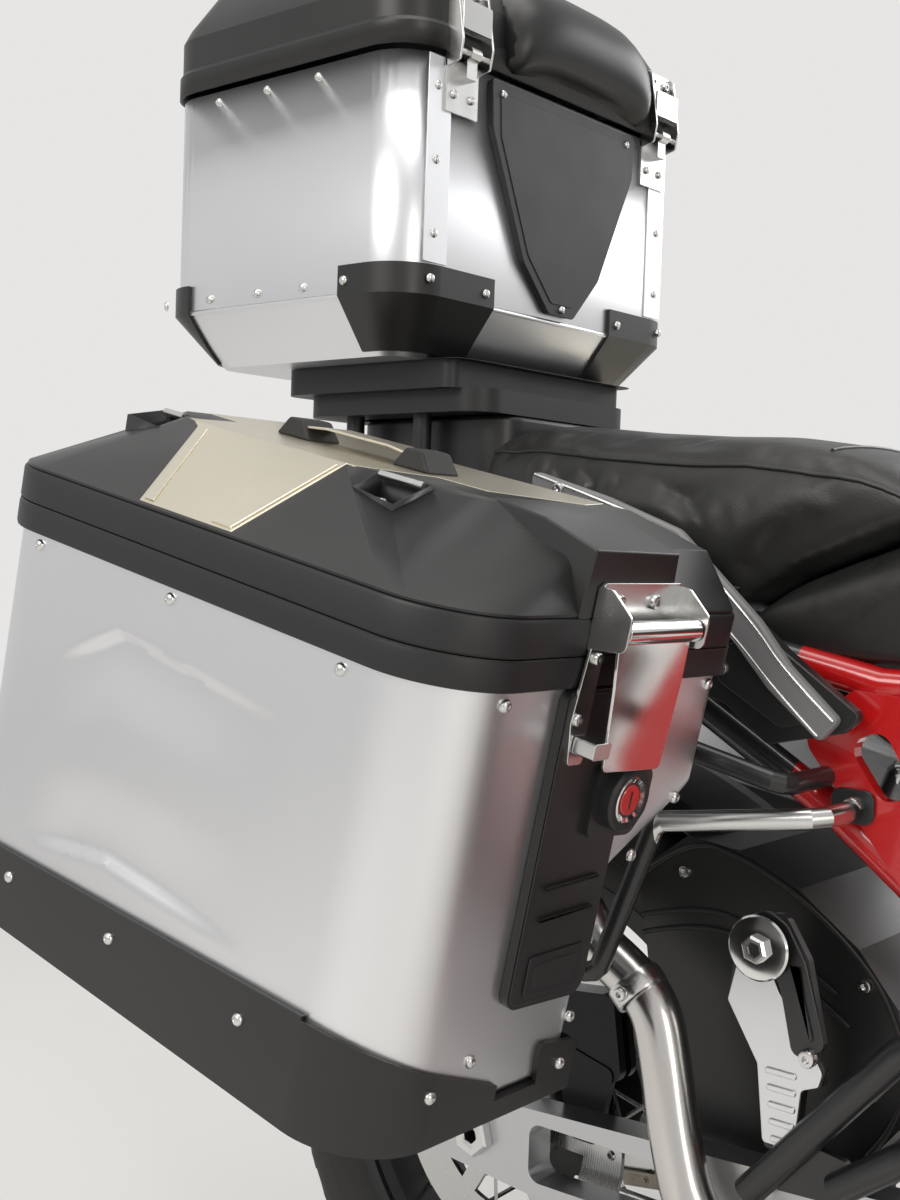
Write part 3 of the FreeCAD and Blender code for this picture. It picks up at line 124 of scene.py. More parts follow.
class Finish:
    """A material: one shader, and the nodes that vary it over the surface."""

    def __init__(self, name, colour, roughness, metallic=0.0, **constants):
        self.material = bpy.data.materials.new(name)
        self.material.use_nodes = True
        self.tree = self.material.node_tree
        self.shader = self.tree.nodes["Principled BSDF"]
        self.shader.inputs["Base Color"].default_value = (*colour, 1)
        self.shader.inputs["Roughness"].default_value = roughness
        self.shader.inputs["Metallic"].default_value = metallic
        for key, amount in constants.items():
            self.shader.inputs[key.replace("_", " ")].default_value = amount

    def node(self, kind, settings, *inputs, output=0, **named):
        """Add a node with its settings, then the values or links of its sockets."""
        made = self.tree.nodes.new(kind)
        for key, setting in settings.items():
            if key == "stops":
                ramp = made.color_ramp
                while len(ramp.elements) < len(setting):
                    ramp.elements.new(0.5)
                for stop, (place, shade) in zip(ramp.elements, setting):
                    stop.position, stop.color = place, (*shade, 1)
            else:
                setattr(made, key, setting)
        for key, given in list(enumerate(inputs)) + list(named.items()):
            socket = made.inputs[key]
            if isinstance(given, Value):
                self.tree.links.new(given.socket, socket)
            elif given is not None:
                socket.default_value = given
        return Value(self, made.outputs[output])

    def places(self, stretch=(1, 1, 1)):
        """Object coordinates in metres, stretched along the axes."""
        here = self.node("ShaderNodeTexCoord", {}, output="Object")
        return self.node("ShaderNodeMapping", {}, here, None, None, stretch)

    def axes(self):
        """The three object coordinates, each as a value."""
        here = self.node("ShaderNodeTexCoord", {}, output="Object")
        split = self.tree.nodes.new("ShaderNodeSeparateXYZ")
        self.tree.links.new(here.socket, split.inputs[0])
        return [Value(self, out) for out in split.outputs]

    def cloud(self, scale, detail=3.0, rough=0.5, stretch=(1, 1, 1)):
        """Soft noise from 0 to 1."""
        return self.node("ShaderNodeTexNoise", {}, self.places(stretch), Scale=scale, Detail=detail,
                         Roughness=rough)

    def mix(self, share, first, second):
        """One colour turning into another by a share."""
        pair = [given if isinstance(given, Value) else (*given, 1) for given in (first, second)]
        made = self.tree.nodes.new("ShaderNodeMix")
        made.data_type = "RGBA"
        self.tree.links.new(share.socket, made.inputs[0])
        for socket, given in zip((made.inputs[6], made.inputs[7]), pair):
            if isinstance(given, Value):
                self.tree.links.new(given.socket, socket)
            else:
                socket.default_value = given
        return Value(self, made.outputs[2])

    def drive(self, socket, value):
        """Let a value vary one of the shader's sockets."""
        self.tree.links.new(value.socket, self.shader.inputs[socket])
        return self

    def relief(self, height, strength=0.3, distance=0.0005):
        """Bump the surface by a height from 0 to 1."""
        bumped = self.node("ShaderNodeBump", {}, strength, distance, Height=height)
        return self.drive("Normal", bumped)

    def cells(self, scale):
        """Small cells, as in a moulded grain or in hide."""
        return self.node("ShaderNodeTexVoronoi", {}, self.places(), Scale=float(scale))

    def shaded(self, scale, detail, first, second):
        """Let soft noise turn one colour into another."""
        return self.drive("Base Color", self.mix(self.cloud(scale, detail), first, second))

    def patchy(self, scale, detail, spread, base, *stretch):
        """Let soft noise raise the roughness from a base by a spread."""
        return self.drive("Roughness", self.cloud(scale, detail, *stretch) * spread + base)

    def grained(self, scale, detail, strength, distance, *stretch):
        """Bump the surface by soft noise."""
        return self.relief(self.cloud(scale, detail, *stretch), strength, distance)


floor_finish = Finish("pale_floor", (0.78, 0.77, 0.75), 0.55)
floor_finish.shaded(1.5, 3, (0.76, 0.75, 0.73), (0.8, 0.79, 0.77))
bpy.ops.mesh.primitive_plane_add(size=14, location=(0, 0, -0.0002))
floor = bpy.context.object
floor.name = "floor"
floor.data.materials.append(floor_finish.material)

world = bpy.data.worlds.new("backdrop")
world.use_nodes = True
bpy.context.scene.world = world
sky = world.node_tree
sky.nodes.clear()
light_path = sky.nodes.new("ShaderNodeLightPath")
shown = sky.nodes.new("ShaderNodeMath")
shown.operation = "MAXIMUM"
sky.links.new(light_path.outputs["Is Camera Ray"], shown.inputs[0])
clear_too = sky.nodes.new("ShaderNodeMath")
clear_too.operation = "MAXIMUM"
sky.links.new(shown.outputs[0], clear_too.inputs[0])
sky.links.new(light_path.outputs["Is Transmission Ray"], clear_too.inputs[1])
glossy_part = sky.nodes.new("ShaderNodeMath")
glossy_part.operation = "MULTIPLY_ADD"
glossy_part.inputs[1].default_value = 0.25
sky.links.new(light_path.outputs["Is Glossy Ray"], glossy_part.inputs[0])
sky.links.new(clear_too.outputs[0], glossy_part.inputs[2])
plain = sky.nodes.new("ShaderNodeBackground")
plain.inputs[0].default_value = (0.86, 0.86, 0.87, 1)
plain.inputs[1].default_value = 0.42
seen = sky.nodes.new("ShaderNodeBackground")
seen.inputs[0].default_value = (0.8, 0.79, 0.78, 1)
seen.inputs[1].default_value = 1.0
blend_sky = sky.nodes.new("ShaderNodeMixShader")
sky.links.new(glossy_part.outputs[0], blend_sky.inputs[0])
sky.links.new(plain.outputs[0], blend_sky.inputs[1])
sky.links.new(seen.outputs[0], blend_sky.inputs[2])
sky_out = sky.nodes.new("ShaderNodeOutputWorld")
sky.links.new(blend_sky.outputs[0], sky_out.inputs[0])


def lamp(name, place, target, width, height, power, colour=(1, 1, 1)):
    """A soft rectangular lamp that faces a target."""
    data = bpy.data.lights.new(name, "AREA")
    data.shape = "RECTANGLE"
    data.size, data.size_y, data.energy, data.color = width, height, power, colour
    made = bpy.data.objects.new(name, data)
    made.location = place
    made.rotation_euler = (Vector(target) - Vector(place)).to_track_quat("-Z", "Y").to_euler()
    bpy.context.scene.collection.objects.link(made)


lamp("key_lamp", (-0.9, -3.4, 2.9), (-0.5, -0.3, 0.9), 2.2, 1.6, 62, (1.0, 0.97, 0.93))
lamp("front_lamp", (2.9, -1.6, 1.7), (-0.3, -0.3, 0.9), 0.7, 2.2, 26, (1.0, 0.94, 0.86))
lamp("left_lamp", (0.2, 3.4, 2.6), (-0.3, 0.2, 0.8), 2.4, 1.6, 42)
lamp("top_lamp", (-0.4, -0.4, 4.0), (-0.4, -0.2, 0.6), 2.6, 1.8, 40, (1.0, 0.98, 0.95))

# Frame and subframe: bent steel tube, welded and painted in a deep gloss red.
# The paint has a little orange peel, and the subframe is black behind its side plates.


def dress(finish, *names):
    """Give CAD nodes a finish."""
    for name in names:
        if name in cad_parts:
            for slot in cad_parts[name].material_slots:
                slot.material = finish.material


PLATE_END = 296
RED, PAINT_BLACK = (0.52, 0.009, 0.01), (0.012, 0.012, 0.013)
red_paint = Finish("red_paint", (0.52, 0.008, 0.01), 0.22, 0.0, Coat_Weight=0.9, Coat_Roughness=0.05)
red_paint.shaded(6, 3, (0.46, 0.006, 0.008), (0.58, 0.012, 0.012))
red_paint.grained(420, 2, 0.05, 0.0003)
dress(red_paint, "main_frame")
tail_paint = Finish("frame_paint_two_part", (0.52, 0.008, 0.01), 0.22, 0.0, Coat_Weight=0.9,
                    Coat_Roughness=0.05)
behind = tail_paint.axes()[0] < at(PLATE_END, 0, 0).x
tail_paint.drive("Base Color", tail_paint.mix(behind, RED, PAINT_BLACK))
tail_paint.drive("Roughness", behind * 0.2 + 0.22)
dress(tail_paint, "subframe")

# Bolts, rivets and screws: small domed steel heads in rows, made once and repeated on marked points.
# The bare metals and black finishes that the rest shares are mixed here.


def placed(name, data):
    """An object in the scene from a mesh or a curve."""
    made = bpy.data.objects.new(name, data)
    bpy.context.scene.collection.objects.link(made)
    return made


def worked(piece):
    """A piece's mesh with its curve or its modifiers worked out."""
    return bpy.data.meshes.new_from_object(piece.evaluated_get(bpy.context.evaluated_depsgraph_get()))


def cleaned(mesh, merge=0.0, outward=True):
    """Join a mesh's double points within a distance, and turn its faces outwards."""
    tool = bmesh.new()
    tool.from_mesh(mesh)
    if merge:
        bmesh.ops.remove_doubles(tool, verts=tool.verts, dist=merge)
    if outward:
        bmesh.ops.recalc_face_normals(tool, faces=tool.faces)
    tool.to_mesh(mesh)
    tool.free()
    return mesh


def between(count, size, closed=False):
    """Faces between rings of points, also from the last ring to the first where it is closed."""
    faces = []
    for j in range(count if closed else count - 1):
        here, there = j * size, (j + 1) % count * size
        faces += [(here + i, here + (i + 1) % size, there + (i + 1) % size, there + i) for i in range(size)]
    return faces


def ends(count, size):
    """The two faces that close the first ring and the last."""
    return [tuple(range(size)), tuple(range((count - 1) * size, count * size))]


SIDES = ((-1, "right"), (1, "left"))
steel = Finish("bright_steel", (0.68, 0.68, 0.67), 0.22, 1.0)
steel.patchy(60, 3, 0.16, 0.16).grained(300, 3, 0.04, 0.0002)
bright_steel = Finish("polished_steel", (0.74, 0.74, 0.73), 0.1, 1.0).patchy(45, 3, 0.08, 0.07)
matte_black = Finish("matte_black", (0.011, 0.011, 0.012), 0.5)
matte_black.patchy(25, 4, 0.12, 0.42).grained(1400, 2, 0.1, 0.0002)


def repeat_tree():
    """Geometry nodes that set one head on every point, turned to face outwards and scaled."""
    tree = bpy.data.node_groups.new("set_heads", "GeometryNodeTree")
    for label, kind in (("Points", "Geometry"), ("Head", "Object"), ("Finish", "Material")):
        tree.interface.new_socket(label, in_out="INPUT", socket_type="NodeSocket" + kind)
    tree.interface.new_socket("Heads", in_out="OUTPUT", socket_type="NodeSocketGeometry")
    add = tree.nodes.new
    entry, leave, head = add("NodeGroupInput"), add("NodeGroupOutput"), add("GeometryNodeObjectInfo")
    stored = {}
    for label in ("facing", "size", "along"):
        stored[label] = add("GeometryNodeInputNamedAttribute")
        stored[label].data_type = "FLOAT_VECTOR"
        stored[label].inputs[0].default_value = label
    aim, roll = add("FunctionNodeAlignRotationToVector"), add("FunctionNodeAlignRotationToVector")
    aim.axis, roll.axis, roll.pivot_axis = "Z", "X", "Z"
    set_on, real = add("GeometryNodeInstanceOnPoints"), add("GeometryNodeRealizeInstances")
    paint = add("GeometryNodeSetMaterial")
    for start, output, stop, socket in (
            (entry, "Points", set_on, "Points"), (entry, "Head", head, "Object"),
            (head, "Geometry", set_on, "Instance"), (stored["facing"], "Attribute", aim, "Vector"),
            (aim, "Rotation", roll, "Rotation"), (stored["along"], "Attribute", roll, "Vector"),
            (roll, "Rotation", set_on, "Rotation"), (stored["size"], "Attribute", set_on, "Scale"),
            (set_on, "Instances", real, "Geometry"), (real, "Geometry", paint, "Geometry"),
            (entry, "Finish", paint, "Material"), (paint, "Geometry", leave, "Heads")):
        tree.links.new(start.outputs[output], stop.inputs[socket])
    return tree


set_heads = repeat_tree()


def head_shape(name, profile, steps=12):
    """A small turned head, of (radius, height) in millimetres, closed at its foot and its top."""
    points = []
    for r, h in profile:
        for k in range(steps):
            angle = 2 * math.pi * k / steps
            points.append((r * math.cos(angle) / 1000, r * math.sin(angle) / 1000, h / 1000))
    mesh = bpy.data.meshes.new(name)
    mesh.from_pydata(points, [], between(len(profile), steps) + ends(len(profile), steps))
    cleaned(mesh)
    mesh.shade_smooth()
    mesh.set_sharp_from_angle(angle=math.radians(40))
    return bpy.data.objects.new(name, mesh)


rivet = head_shape("rivet_head", [(4.6, -0.6), (4.6, 0.5), (4.1, 1.9), (2.9, 2.9), (1.3, 3.3), (1.1, 2.9),
                                  (0.5, 2.8)])
socket_screw = head_shape("socket_screw_head", [(5.2, -0.5), (5.2, 2.4), (4.4, 3.6), (2.6, 4.0), (2.3, 3.9),
                                                (2.1, 1.4), (0.6, 1.3)])


def heads(name, head, spots, finish, body="chassis"):
    """Copies of a head on spots of (place, facing, size, along), one mesh for a body."""
    mesh = bpy.data.meshes.new(name)
    mesh.from_pydata([tuple(spot[0]) for spot in spots], [], [])
    for column, label, usual in ((1, "facing", None), (2, "size", (1, 1, 1)), (3, "along", (0, 0, 1))):
        values = [spot[column] if len(spot) > column else usual for spot in spots]
        store = mesh.attributes.new(label, "FLOAT_VECTOR", "POINT")
        store.data.foreach_set("vector", [c for v in values for c in v])
    carrier = placed(name, mesh)
    bpy.context.scene.collection.objects.link(head)
    setter = carrier.modifiers.new("heads", "NODES")
    setter.node_group = set_heads
    names = {item.name: item.identifier for item in set_heads.interface.items_tree}
    setter[names["Head"]] = head
    setter[names["Finish"]] = finish.material
    copies = worked(carrier)
    carrier.modifiers.clear()
    carrier.data = copies
    bpy.context.scene.collection.objects.unlink(head)
    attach(carrier, body)


def screws(name, places, facing, scale=1.0, body="chassis", head=socket_screw):
    """Steel screws of one size on places that all face one way."""
    heads(name, head, [(place, facing, (scale, scale, scale)) for place in places], steel, body)


aluminium = Finish("satin_aluminium", (0.78, 0.79, 0.81), 0.34, 1.0)
aluminium.drive("Base Color", aluminium.mix(aluminium.cloud(3.2, 4, 0.6), (0.72, 0.73, 0.755),
                                            (0.82, 0.825, 0.835)))
grain = aluminium.cloud(55, 6, 0.7, (1, 1, 14))
aluminium.drive("Roughness", aluminium.cloud(4.0, 3) * 0.09 + (grain * 0.07 + 0.27))
aluminium.relief(grain * 0.6 + aluminium.cloud(900, 2) * 0.4, 0.06, 0.0002)

black_plastic = Finish("black_moulding", (0.013, 0.013, 0.0135), 0.4)
black_plastic.shaded(9, 4, (0.010, 0.010, 0.0105), (0.018, 0.0178, 0.0175)).patchy(18, 4, 0.12, 0.31)
black_plastic.relief(black_plastic.cells(1500), 0.1, 0.0002)
rubber_black = Finish("black_rubber", (0.014, 0.014, 0.014), 0.62)
rubber_black.patchy(40, 3, 0.14, 0.55).grained(700, 3, 0.2, 0.0003)


# Engine: dark cast crankcase and finned cylinders in the frame, with bolted round covers.
# Its header pipes join under the sump into one pipe that rises on the right to the silencer.


def finished(mesh, finish, sharp):
    """Give a mesh one finish, and smooth shading up to a sharp angle in degrees."""
    mesh.materials.clear()
    mesh.materials.append(finish.material)
    mesh.shade_smooth()
    mesh.set_sharp_from_angle(angle=math.radians(sharp))
    return mesh


def eased(piece, width, steps=2, angle=30):
    """Bevel the edges that turn by more than an angle, by a width in millimetres."""
    edge = piece.modifiers.new("edge", "BEVEL")
    edge.width, edge.segments, edge.limit_method = width / 1000, steps, "ANGLE"
    edge.angle_limit, edge.harden_normals = math.radians(angle), True


def shaped(name, points, faces, finish, body, sharp=32, bevel=0.0, outward=True):
    """A piece from points in metres and faces, with its edges softened by a bevel."""
    mesh = bpy.data.meshes.new(name)
    mesh.from_pydata([tuple(p) for p in points], [], faces)
    made = placed(name, finished(cleaned(mesh, 1e-6, outward), finish, sharp))
    if bevel:
        eased(made, bevel)
    if body:
        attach(made, body)
    return made


def arc_corners(corners, steps=5):
    """An outline of (a, b, radius) as plain (a, b) points, with its corners rounded."""
    made = []
    count = len(corners)
    for i, (a, b, radius) in enumerate(corners):
        here = Vector((a, b))
        if not radius:
            made.append((a, b))
            continue
        before = (Vector(corners[i - 1][:2]) - here).normalized()
        after = (Vector(corners[(i + 1) % count][:2]) - here).normalized()
        half = before.angle(after) / 2
        middle = here + (before + after).normalized() * radius / math.sin(half)
        start = here + before * radius / math.tan(half) - middle
        stop = here + after * radius / math.tan(half) - middle
        sweep = start.angle_signed(stop)
        for k in range(steps + 1):
            angle = -sweep * k / steps
            made.append((middle.x + start.x * math.cos(angle) - start.y * math.sin(angle),
                         middle.y + start.x * math.sin(angle) + start.y * math.cos(angle)))
    return made


def rectangle(a0, b0, a1, b1, radius):
    """A rectangle's outline from two opposite corners."""
    return [(a0, b0, radius), (a1, b0, radius), (a1, b1, radius), (a0, b1, radius)]


def slab(name, outline, low, high, place, finish, bevel=0.8, body="chassis"):
    """A plate: an outline of (a, b, radius), from one depth to another, put in place by a function."""
    flat = arc_corners(outline)
    points = [place(a, b, depth) for depth in (low, high) for a, b in flat]
    return shaped(name, points, ends(2, len(flat)) + between(2, len(flat)), finish, body, bevel=bevel)


def beside(side):
    """Places for a slab that faces one side: forward, up, and out from the middle."""
    return lambda x, z, y: at(x, side * y, z)


def turned(name, profile, centre, axis, finish, steps=48, body="chassis", **more):
    """A turned piece: a closed profile of (radius, along the axis) in millimetres about an axis."""
    axis = Vector(axis).normalized()
    side = axis.orthogonal().normalized()
    other = axis.cross(side)
    points = []
    for k in range(steps):
        angle = 2 * math.pi * k / steps
        out = side * math.cos(angle) + other * math.sin(angle)
        points += [Vector(centre) + (out * r + axis * a) / 1000 for r, a in profile]
    return shaped(name, points, between(steps, len(profile), True), finish, body, **more)


def tube(name, path, radius, finish, body="chassis", order=3, around=16):
    """A round bar along a smooth line through control points in metres."""
    curve = bpy.data.curves.new(name, "CURVE")
    curve.dimensions = "3D"
    spline = curve.splines.new("NURBS")
    spline.points.add(len(path) - 1)
    for point, place in zip(spline.points, path):
        point.co = (*place, 1)
    spline.order_u, spline.use_endpoint_u, spline.resolution_u = order, True, 8
    curve.bevel_depth, curve.bevel_resolution, curve.use_fill_caps = radius / 1000, around // 4, True
    line = placed(name + "_line", curve)
    mesh = worked(line)
    bpy.data.objects.remove(line)
    made = placed(name, finished(mesh, finish, 50))
    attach(made, body)
    return made


cast = Finish("dark_casting", (0.05, 0.05, 0.052), 0.5, 0.7)
cast.shaded(10, 4, (0.04, 0.04, 0.042), (0.065, 0.064, 0.062)).patchy(30, 4, 0.16, 0.42)
cast.grained(900, 3, 0.3, 0.0003)
cover_grey = Finish("grey_cover", (0.19, 0.19, 0.2), 0.4, 0.8)
cover_grey.patchy(40, 3, 0.12, 0.34).grained(700, 3, 0.15, 0.0003)
dress(cast, "engine")
COVERS = ((800, -136, 395, 90, 9, "clutch"), (960, -128, 380, 64, 7, "pump"),
          (950, 117, 385, 74, 7, "generator"))
for x, y, z, radius, count, label in COVERS:
    place, out = at(x, y, z), Vector((0, -1 if y < 0 else 1, 0))
    turned(label + "_cover", [(0.5, -4), (radius, -4), (radius, 0), (radius - 5, 4), (radius - 18, 6),
                              (radius - 26, 3), (0.5, 3)], place, out, cover_grey)
    turned(label + "_cover_ring", [(radius - 40, 2), (radius - 34, 2), (radius - 34, 5), (radius - 40, 5)],
           place, out, steel)
    angles = [2 * math.pi * k / count for k in range(count)]
    screws(label + "_bolts", [place + Vector((math.cos(a), 0, math.sin(a))) * (radius - 9) / 1000 + out
                              * 0.004
                              for a in angles], out, 1.1)
turned("oil_filler", [(0.5, -2), (17, -2), (17, 9), (14, 12), (0.5, 12)], at(880, -96, 470), (0, -1, 0.2),
       black_plastic, 10)
for k, x in enumerate((900, 985, 1070)):
    for side, hand in SIDES:
        screws("head_bolts_%d_%s" % (k, hand[0]), [at(x, side * 84 * 1.02, 764 - (x - 900) * 0.13)],
               (0, side, 0.2), 1.2)
for side, hand in SIDES:
    for label, line in (("coolant", ((1035, 60, 700), (1080, 92, 716), (1130, 112, 730), (1150, 126, 752))),
                        ("lower", ((1030, 70, 480), (1100, 96, 500), (1150, 118, 560), (1176, 128, 590)))):
        tube("%s_hose_%s" % (label, hand), [at(x, side * y, z) for x, y, z in line], 12, rubber_black)
    turned("throttle_body_" + hand, [(3, -26), (24, -26), (24, 18), (27, 22), (27, 26), (3, 26)],
           at(858, side * 44, 742), (-0.5, 0, 0.86), cover_grey, 28)
    screws("mount_bolts_" + hand, [at(x, side * y, z) for x, y, z in (
        (1120, 140, 330), (1005, 139, 262), (800, 139, 262), (712, 122, 748),
        (712, 122, 700))], (0, side, 0), 1.9)
slab("air_box", [(700, 700, 20), (720, 838, 20), (860, 838, 20), (870, 770, 14), (820, 690, 14)], -78, 78,
     beside(1),
     black_plastic, 5.0)

# Radiators: finned cores behind louvred black frames, one on each side.
# A ring for the fan stands behind each core.
core = Finish("radiator_core", (0.035, 0.035, 0.037), 0.5, 0.6)
# Thin rows across the core: its darker rows are painted shade in the gaps between the fins, and the same
# rows bump the surface into fins.
rows = (core.axes()[2] * 1100.0).wave() * 0.5 + 0.5
core.drive("Base Color", core.mix(rows, (0.012, 0.012, 0.013), (0.075, 0.075, 0.078)))
core.relief(rows, 0.6, 0.0008)
dress(core, "radiators")


def on_core(side):
    """Places on a radiator's leaning face: out from the middle, up, and forward of the core."""
    return lambda a, b, depth: at(1142 + (800 - b) * 0.125 + depth, side * a, b)


for side, hand in SIDES:
    for label, outline in (("top", rectangle(104, 806, 178, 786, 4)),
                           ("low", rectangle(104, 578, 178, 556, 4)),
                           ("out", rectangle(170, 800, 179, 562, 3))):
        slab("radiator_%s_%s" % (label, hand), outline, -3, 38, on_core(side), black_plastic, 1.6)
    for k in range(7):
        low = 590 + 28 * k
        slab("louvre_%s_%d" % (hand, k + 1), rectangle(106, low, 172, low + 5, 1), 36, 46, on_core(side),
             black_plastic)
    turned("fan_ring_" + hand, [(40, 0), (58, 0), (58, 16), (52, 16), (50, 6), (40, 4)],
           on_core(side)(140, 690, -18),
           (1, 0, 0.12), black_plastic, 36)

# Exhaust: bent stainless pipe with warm heat tints near the engine, and a satin silencer.
# The silencer's shell is eased from the solid, and a black heat shield stands off it.


def softened(name, node, finish, body, voxel, passes, sharp=60):
    """A rounded copy of a CAD node's form, remeshed and eased, that stands in its place."""
    made = placed(name, cleaned(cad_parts[node].data.copy(), 1e-5, False))
    voxels = made.modifiers.new("voxels", "REMESH")
    voxels.mode, voxels.voxel_size = "VOXEL", voxel / 1000
    ease = made.modifiers.new("ease", "SMOOTH")
    ease.factor, ease.iterations = 0.5, passes
    made.data = worked(made)
    made.modifiers.clear()
    finished(made.data, finish, sharp)
    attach(made, body)
    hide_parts(node)


tinted = Finish("heated_steel", (0.62, 0.61, 0.6), 0.2, 1.0)
near_head = (tinted.axes()[0] * 1.6 + 0.15).held()
soft_tint = (near_head * 0.75 + tinted.cloud(9, 3) * 0.25).held()
HEAT_TINTS = ((0.0, (0.64, 0.63, 0.62)), (0.55, (0.6, 0.57, 0.52)), (0.8, (0.5, 0.4, 0.28)),
              (1.0, (0.24, 0.2, 0.26)))
tinted.drive("Base Color", tinted.node("ShaderNodeValToRGB", {"stops": HEAT_TINTS}, soft_tint))
tinted.patchy(26, 4, 0.14, 0.17).grained(420, 3, 0.05, 0.0002)
LINK = ((990, -68, 214), (850, -68, 214), (760, -92, 214), (690, -160, 216), (640, -169, 236),
        (560, -170, 335), (500, -170, 352), (400, -170, 352), (292, -170, 353), (246, -169, 372),
        (226, -167, 430), (212, -163, 490), (200, -160, 528), (170, -156, 548), (134, -154, 566),
        (120, -154, 590), (104, -154, 602), (94, -154, 604))
link_pipe = tube("link_pipe", [at(*p) for p in LINK], 21, tinted, around=28)
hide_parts("exhaust")
for side, hand in SIDES:
    y = 38 * side
    head_pipe = [(1098, y, 620), (1128, y, 622), (1145, y, 600), (1147, y, 540), (1146, y, 420),
                 (1144, y * 0.8 - 4, 300), (1120, y * 0.5 - 20, 232), (1080, y * 0.3 - 45, 216),
                 (1000, y * 0.2 - 58, 215), (960, -68, 215)]
    header = tube("header_" + hand, [at(*p) for p in head_pipe], 19, tinted, around=24)
    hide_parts("exhaust")
    turned("header_flange_" + hand, [(19, -4), (30, -4), (30, 4), (24, 6), (19, 6)], at(1104, y, 620),
           (1, 0, 0), steel, 6)
silencer_metal = Finish("brushed_silencer", (0.6, 0.6, 0.59), 0.3, 1.0)
silencer_metal.patchy(12, 4, 0.16, 0.24, 0.6, (1, 30, 30)).grained(60, 4, 0.08, 0.0002, 0.6, (1, 26, 26))
softened("silencer_body", "silencer", silencer_metal, "chassis", 3.5, 5)
for k, (x, z, inset) in enumerate(((92, 625.5, -2.5), (-322, 662.3, -2.0))):
    half, tall = 53 - inset, 65 - inset
    slab("silencer_band_%d" % (k + 1), [(-half, -tall, 38), (-half, tall, 38), (half, tall, 38),
                                        (half, -tall, 38)],
         -9, 9, lambda a, b, depth: at(x + depth, -153.5 - a, z + b), steel, 1.5)
slab("heat_shield", [(70, 580, 20), (88, 650, 20), (30, 672, 20), (-190, 692, 24), (-214, 650, 20),
                     (-150, 618, 20),
                     (20, 588, 20)], -212.6, -209.4, beside(1), matte_black, 1.0)
screws("shield_bolts", [at(x, -212.6, z) for x, z in ((60, 612), (48, 648), (-180, 668))], (0, -1, 0), 1.2)
turned("tail_pipe_end", [(19, -20), (24.4, -20), (25.4, -16), (25.4, 1), (23, 3), (20, 3), (19, 0)],
       at(-371, -155, 662), (-1, 0, 0), bright_steel, 36)
turned("pipe_clamp_1", [(20.6, -8), (23.4, -8), (24, -6), (24, 6), (23.4, 8), (20.6, 8)],
       at(183, -161, 540),
       (-0.75, 0.04, 0.7), steel, 32)
screws("pipe_clamp_screw_1", [at(183, -186, 540)], (0, -1, 0), 1.1)

# Tail: black moulded side covers, grey grip strips with bright edges, and the stepped luggage plate.
# The covers are screwed to the subframe, and the plate carries the top case.
grey_moulding = Finish("grey_moulding", (0.2, 0.2, 0.205), 0.42, 0.0)
grey_moulding.shaded(12, 3, (0.17, 0.17, 0.175), (0.23, 0.23, 0.235)).patchy(20, 4, 0.12, 0.36)
grey_moulding.relief(grey_moulding.cells(1300), 0.08, 0.0002)
COVER = [(60, 942, 10), (200, 905, 30), (300, 822, 10), (364, 779, 6), (352, 766, 6), (288, 750, 8),
         (250, 778, 15),
         (60, 826, 30)]
COVER_STEP = [(244, 796, 8), (300, 764, 8), (344, 774, 5), (300, 806, 10), (252, 832, 10)]
GRIP_STRIP = [(60, 960, 6), (140, 937, 20), (208, 912, 20), (281, 845, 20), (308, 812, 12), (350, 775, 5),
              (334, 757, 5), (290, 793, 12), (262, 824, 20), (194, 885, 20), (134, 909, 20), (60, 932, 6)]
STRIP_EDGES = (((64, 956), (138, 933), (204, 909), (278, 841), (304, 808), (345, 774)),
               ((64, 936), (135, 913), (197, 888), (266, 826), (294, 796), (333, 762)))
dress(black_plastic, "tail_panels")
dress(matte_black, "luggage_rack")
for side, hand in SIDES:
    slab("cover_face_" + hand, COVER, 157.0, 160.0, beside(side), black_plastic, 1.6)
    slab("cover_step_" + hand, COVER_STEP, 159.5, 164.0, beside(side), black_plastic, 2.4)
    grip_strip = slab("grip_strip_" + hand, GRIP_STRIP, 157.4, 168.0, beside(side), grey_moulding, 3.4)
    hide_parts("grab_rails")
    for k, line in enumerate(STRIP_EDGES):
        tube("strip_edge_%s_%d" % (hand, k + 1), [at(x, side * 167.4, z) for x, z in line], 1.7, steel)
    heads("cover_bolts_" + hand, socket_screw, [(at(x, side * y, z), (0, side, 0), (size, size, size))
                                                for x, y, z, size in (
        (250, 164.0, 806, 1.1), (90, 168.0, 944, 1.0), (324, 164.0, 786, 0.8))], steel)
slab("plate_lip", [(-278, -145, 28), (-278, 145, 28), (-44, 145, 18), (-44, -145, 18)], 1064.4, 1065.0, at,
     matte_black, 0.2)
screws("plate_bolts", [at(x, y, 1040) for x in (-262, -150, -72) for y in (-118, 118)], (0, 0, 1), 1.3)
slab("tail_tray", [(-236, -78, 30), (-236, 78, 30), (-30, 96, 30), (-30, -96, 30)], 958, 1017, at,
     black_plastic, 5.0)

# Seats: two padded pieces in black grained leather, with piped seams along their upper edges.
# The rider's runs up to the step in front of the passenger's, and both clip to the subframe.
leather = Finish("black_leather", (0.016, 0.016, 0.016), 0.42)
hide = leather.cells(620)
leather.shaded(7, 4, (0.012, 0.012, 0.012), (0.024, 0.0235, 0.023))
leather.drive("Roughness", leather.cloud(30, 4) * 0.14 + (hide * 0.1 + 0.32))
leather.relief(hide * 0.7 + leather.cloud(70, 5) * 0.3, 0.28, 0.0004)
piping = Finish("seam_piping", (0.02, 0.02, 0.02), 0.36).grained(900, 2, 0.2, 0.0003)
SWELL_PRESSURE, SWELL_FRAMES, SWELL_CAP = 4, 20, 0.006


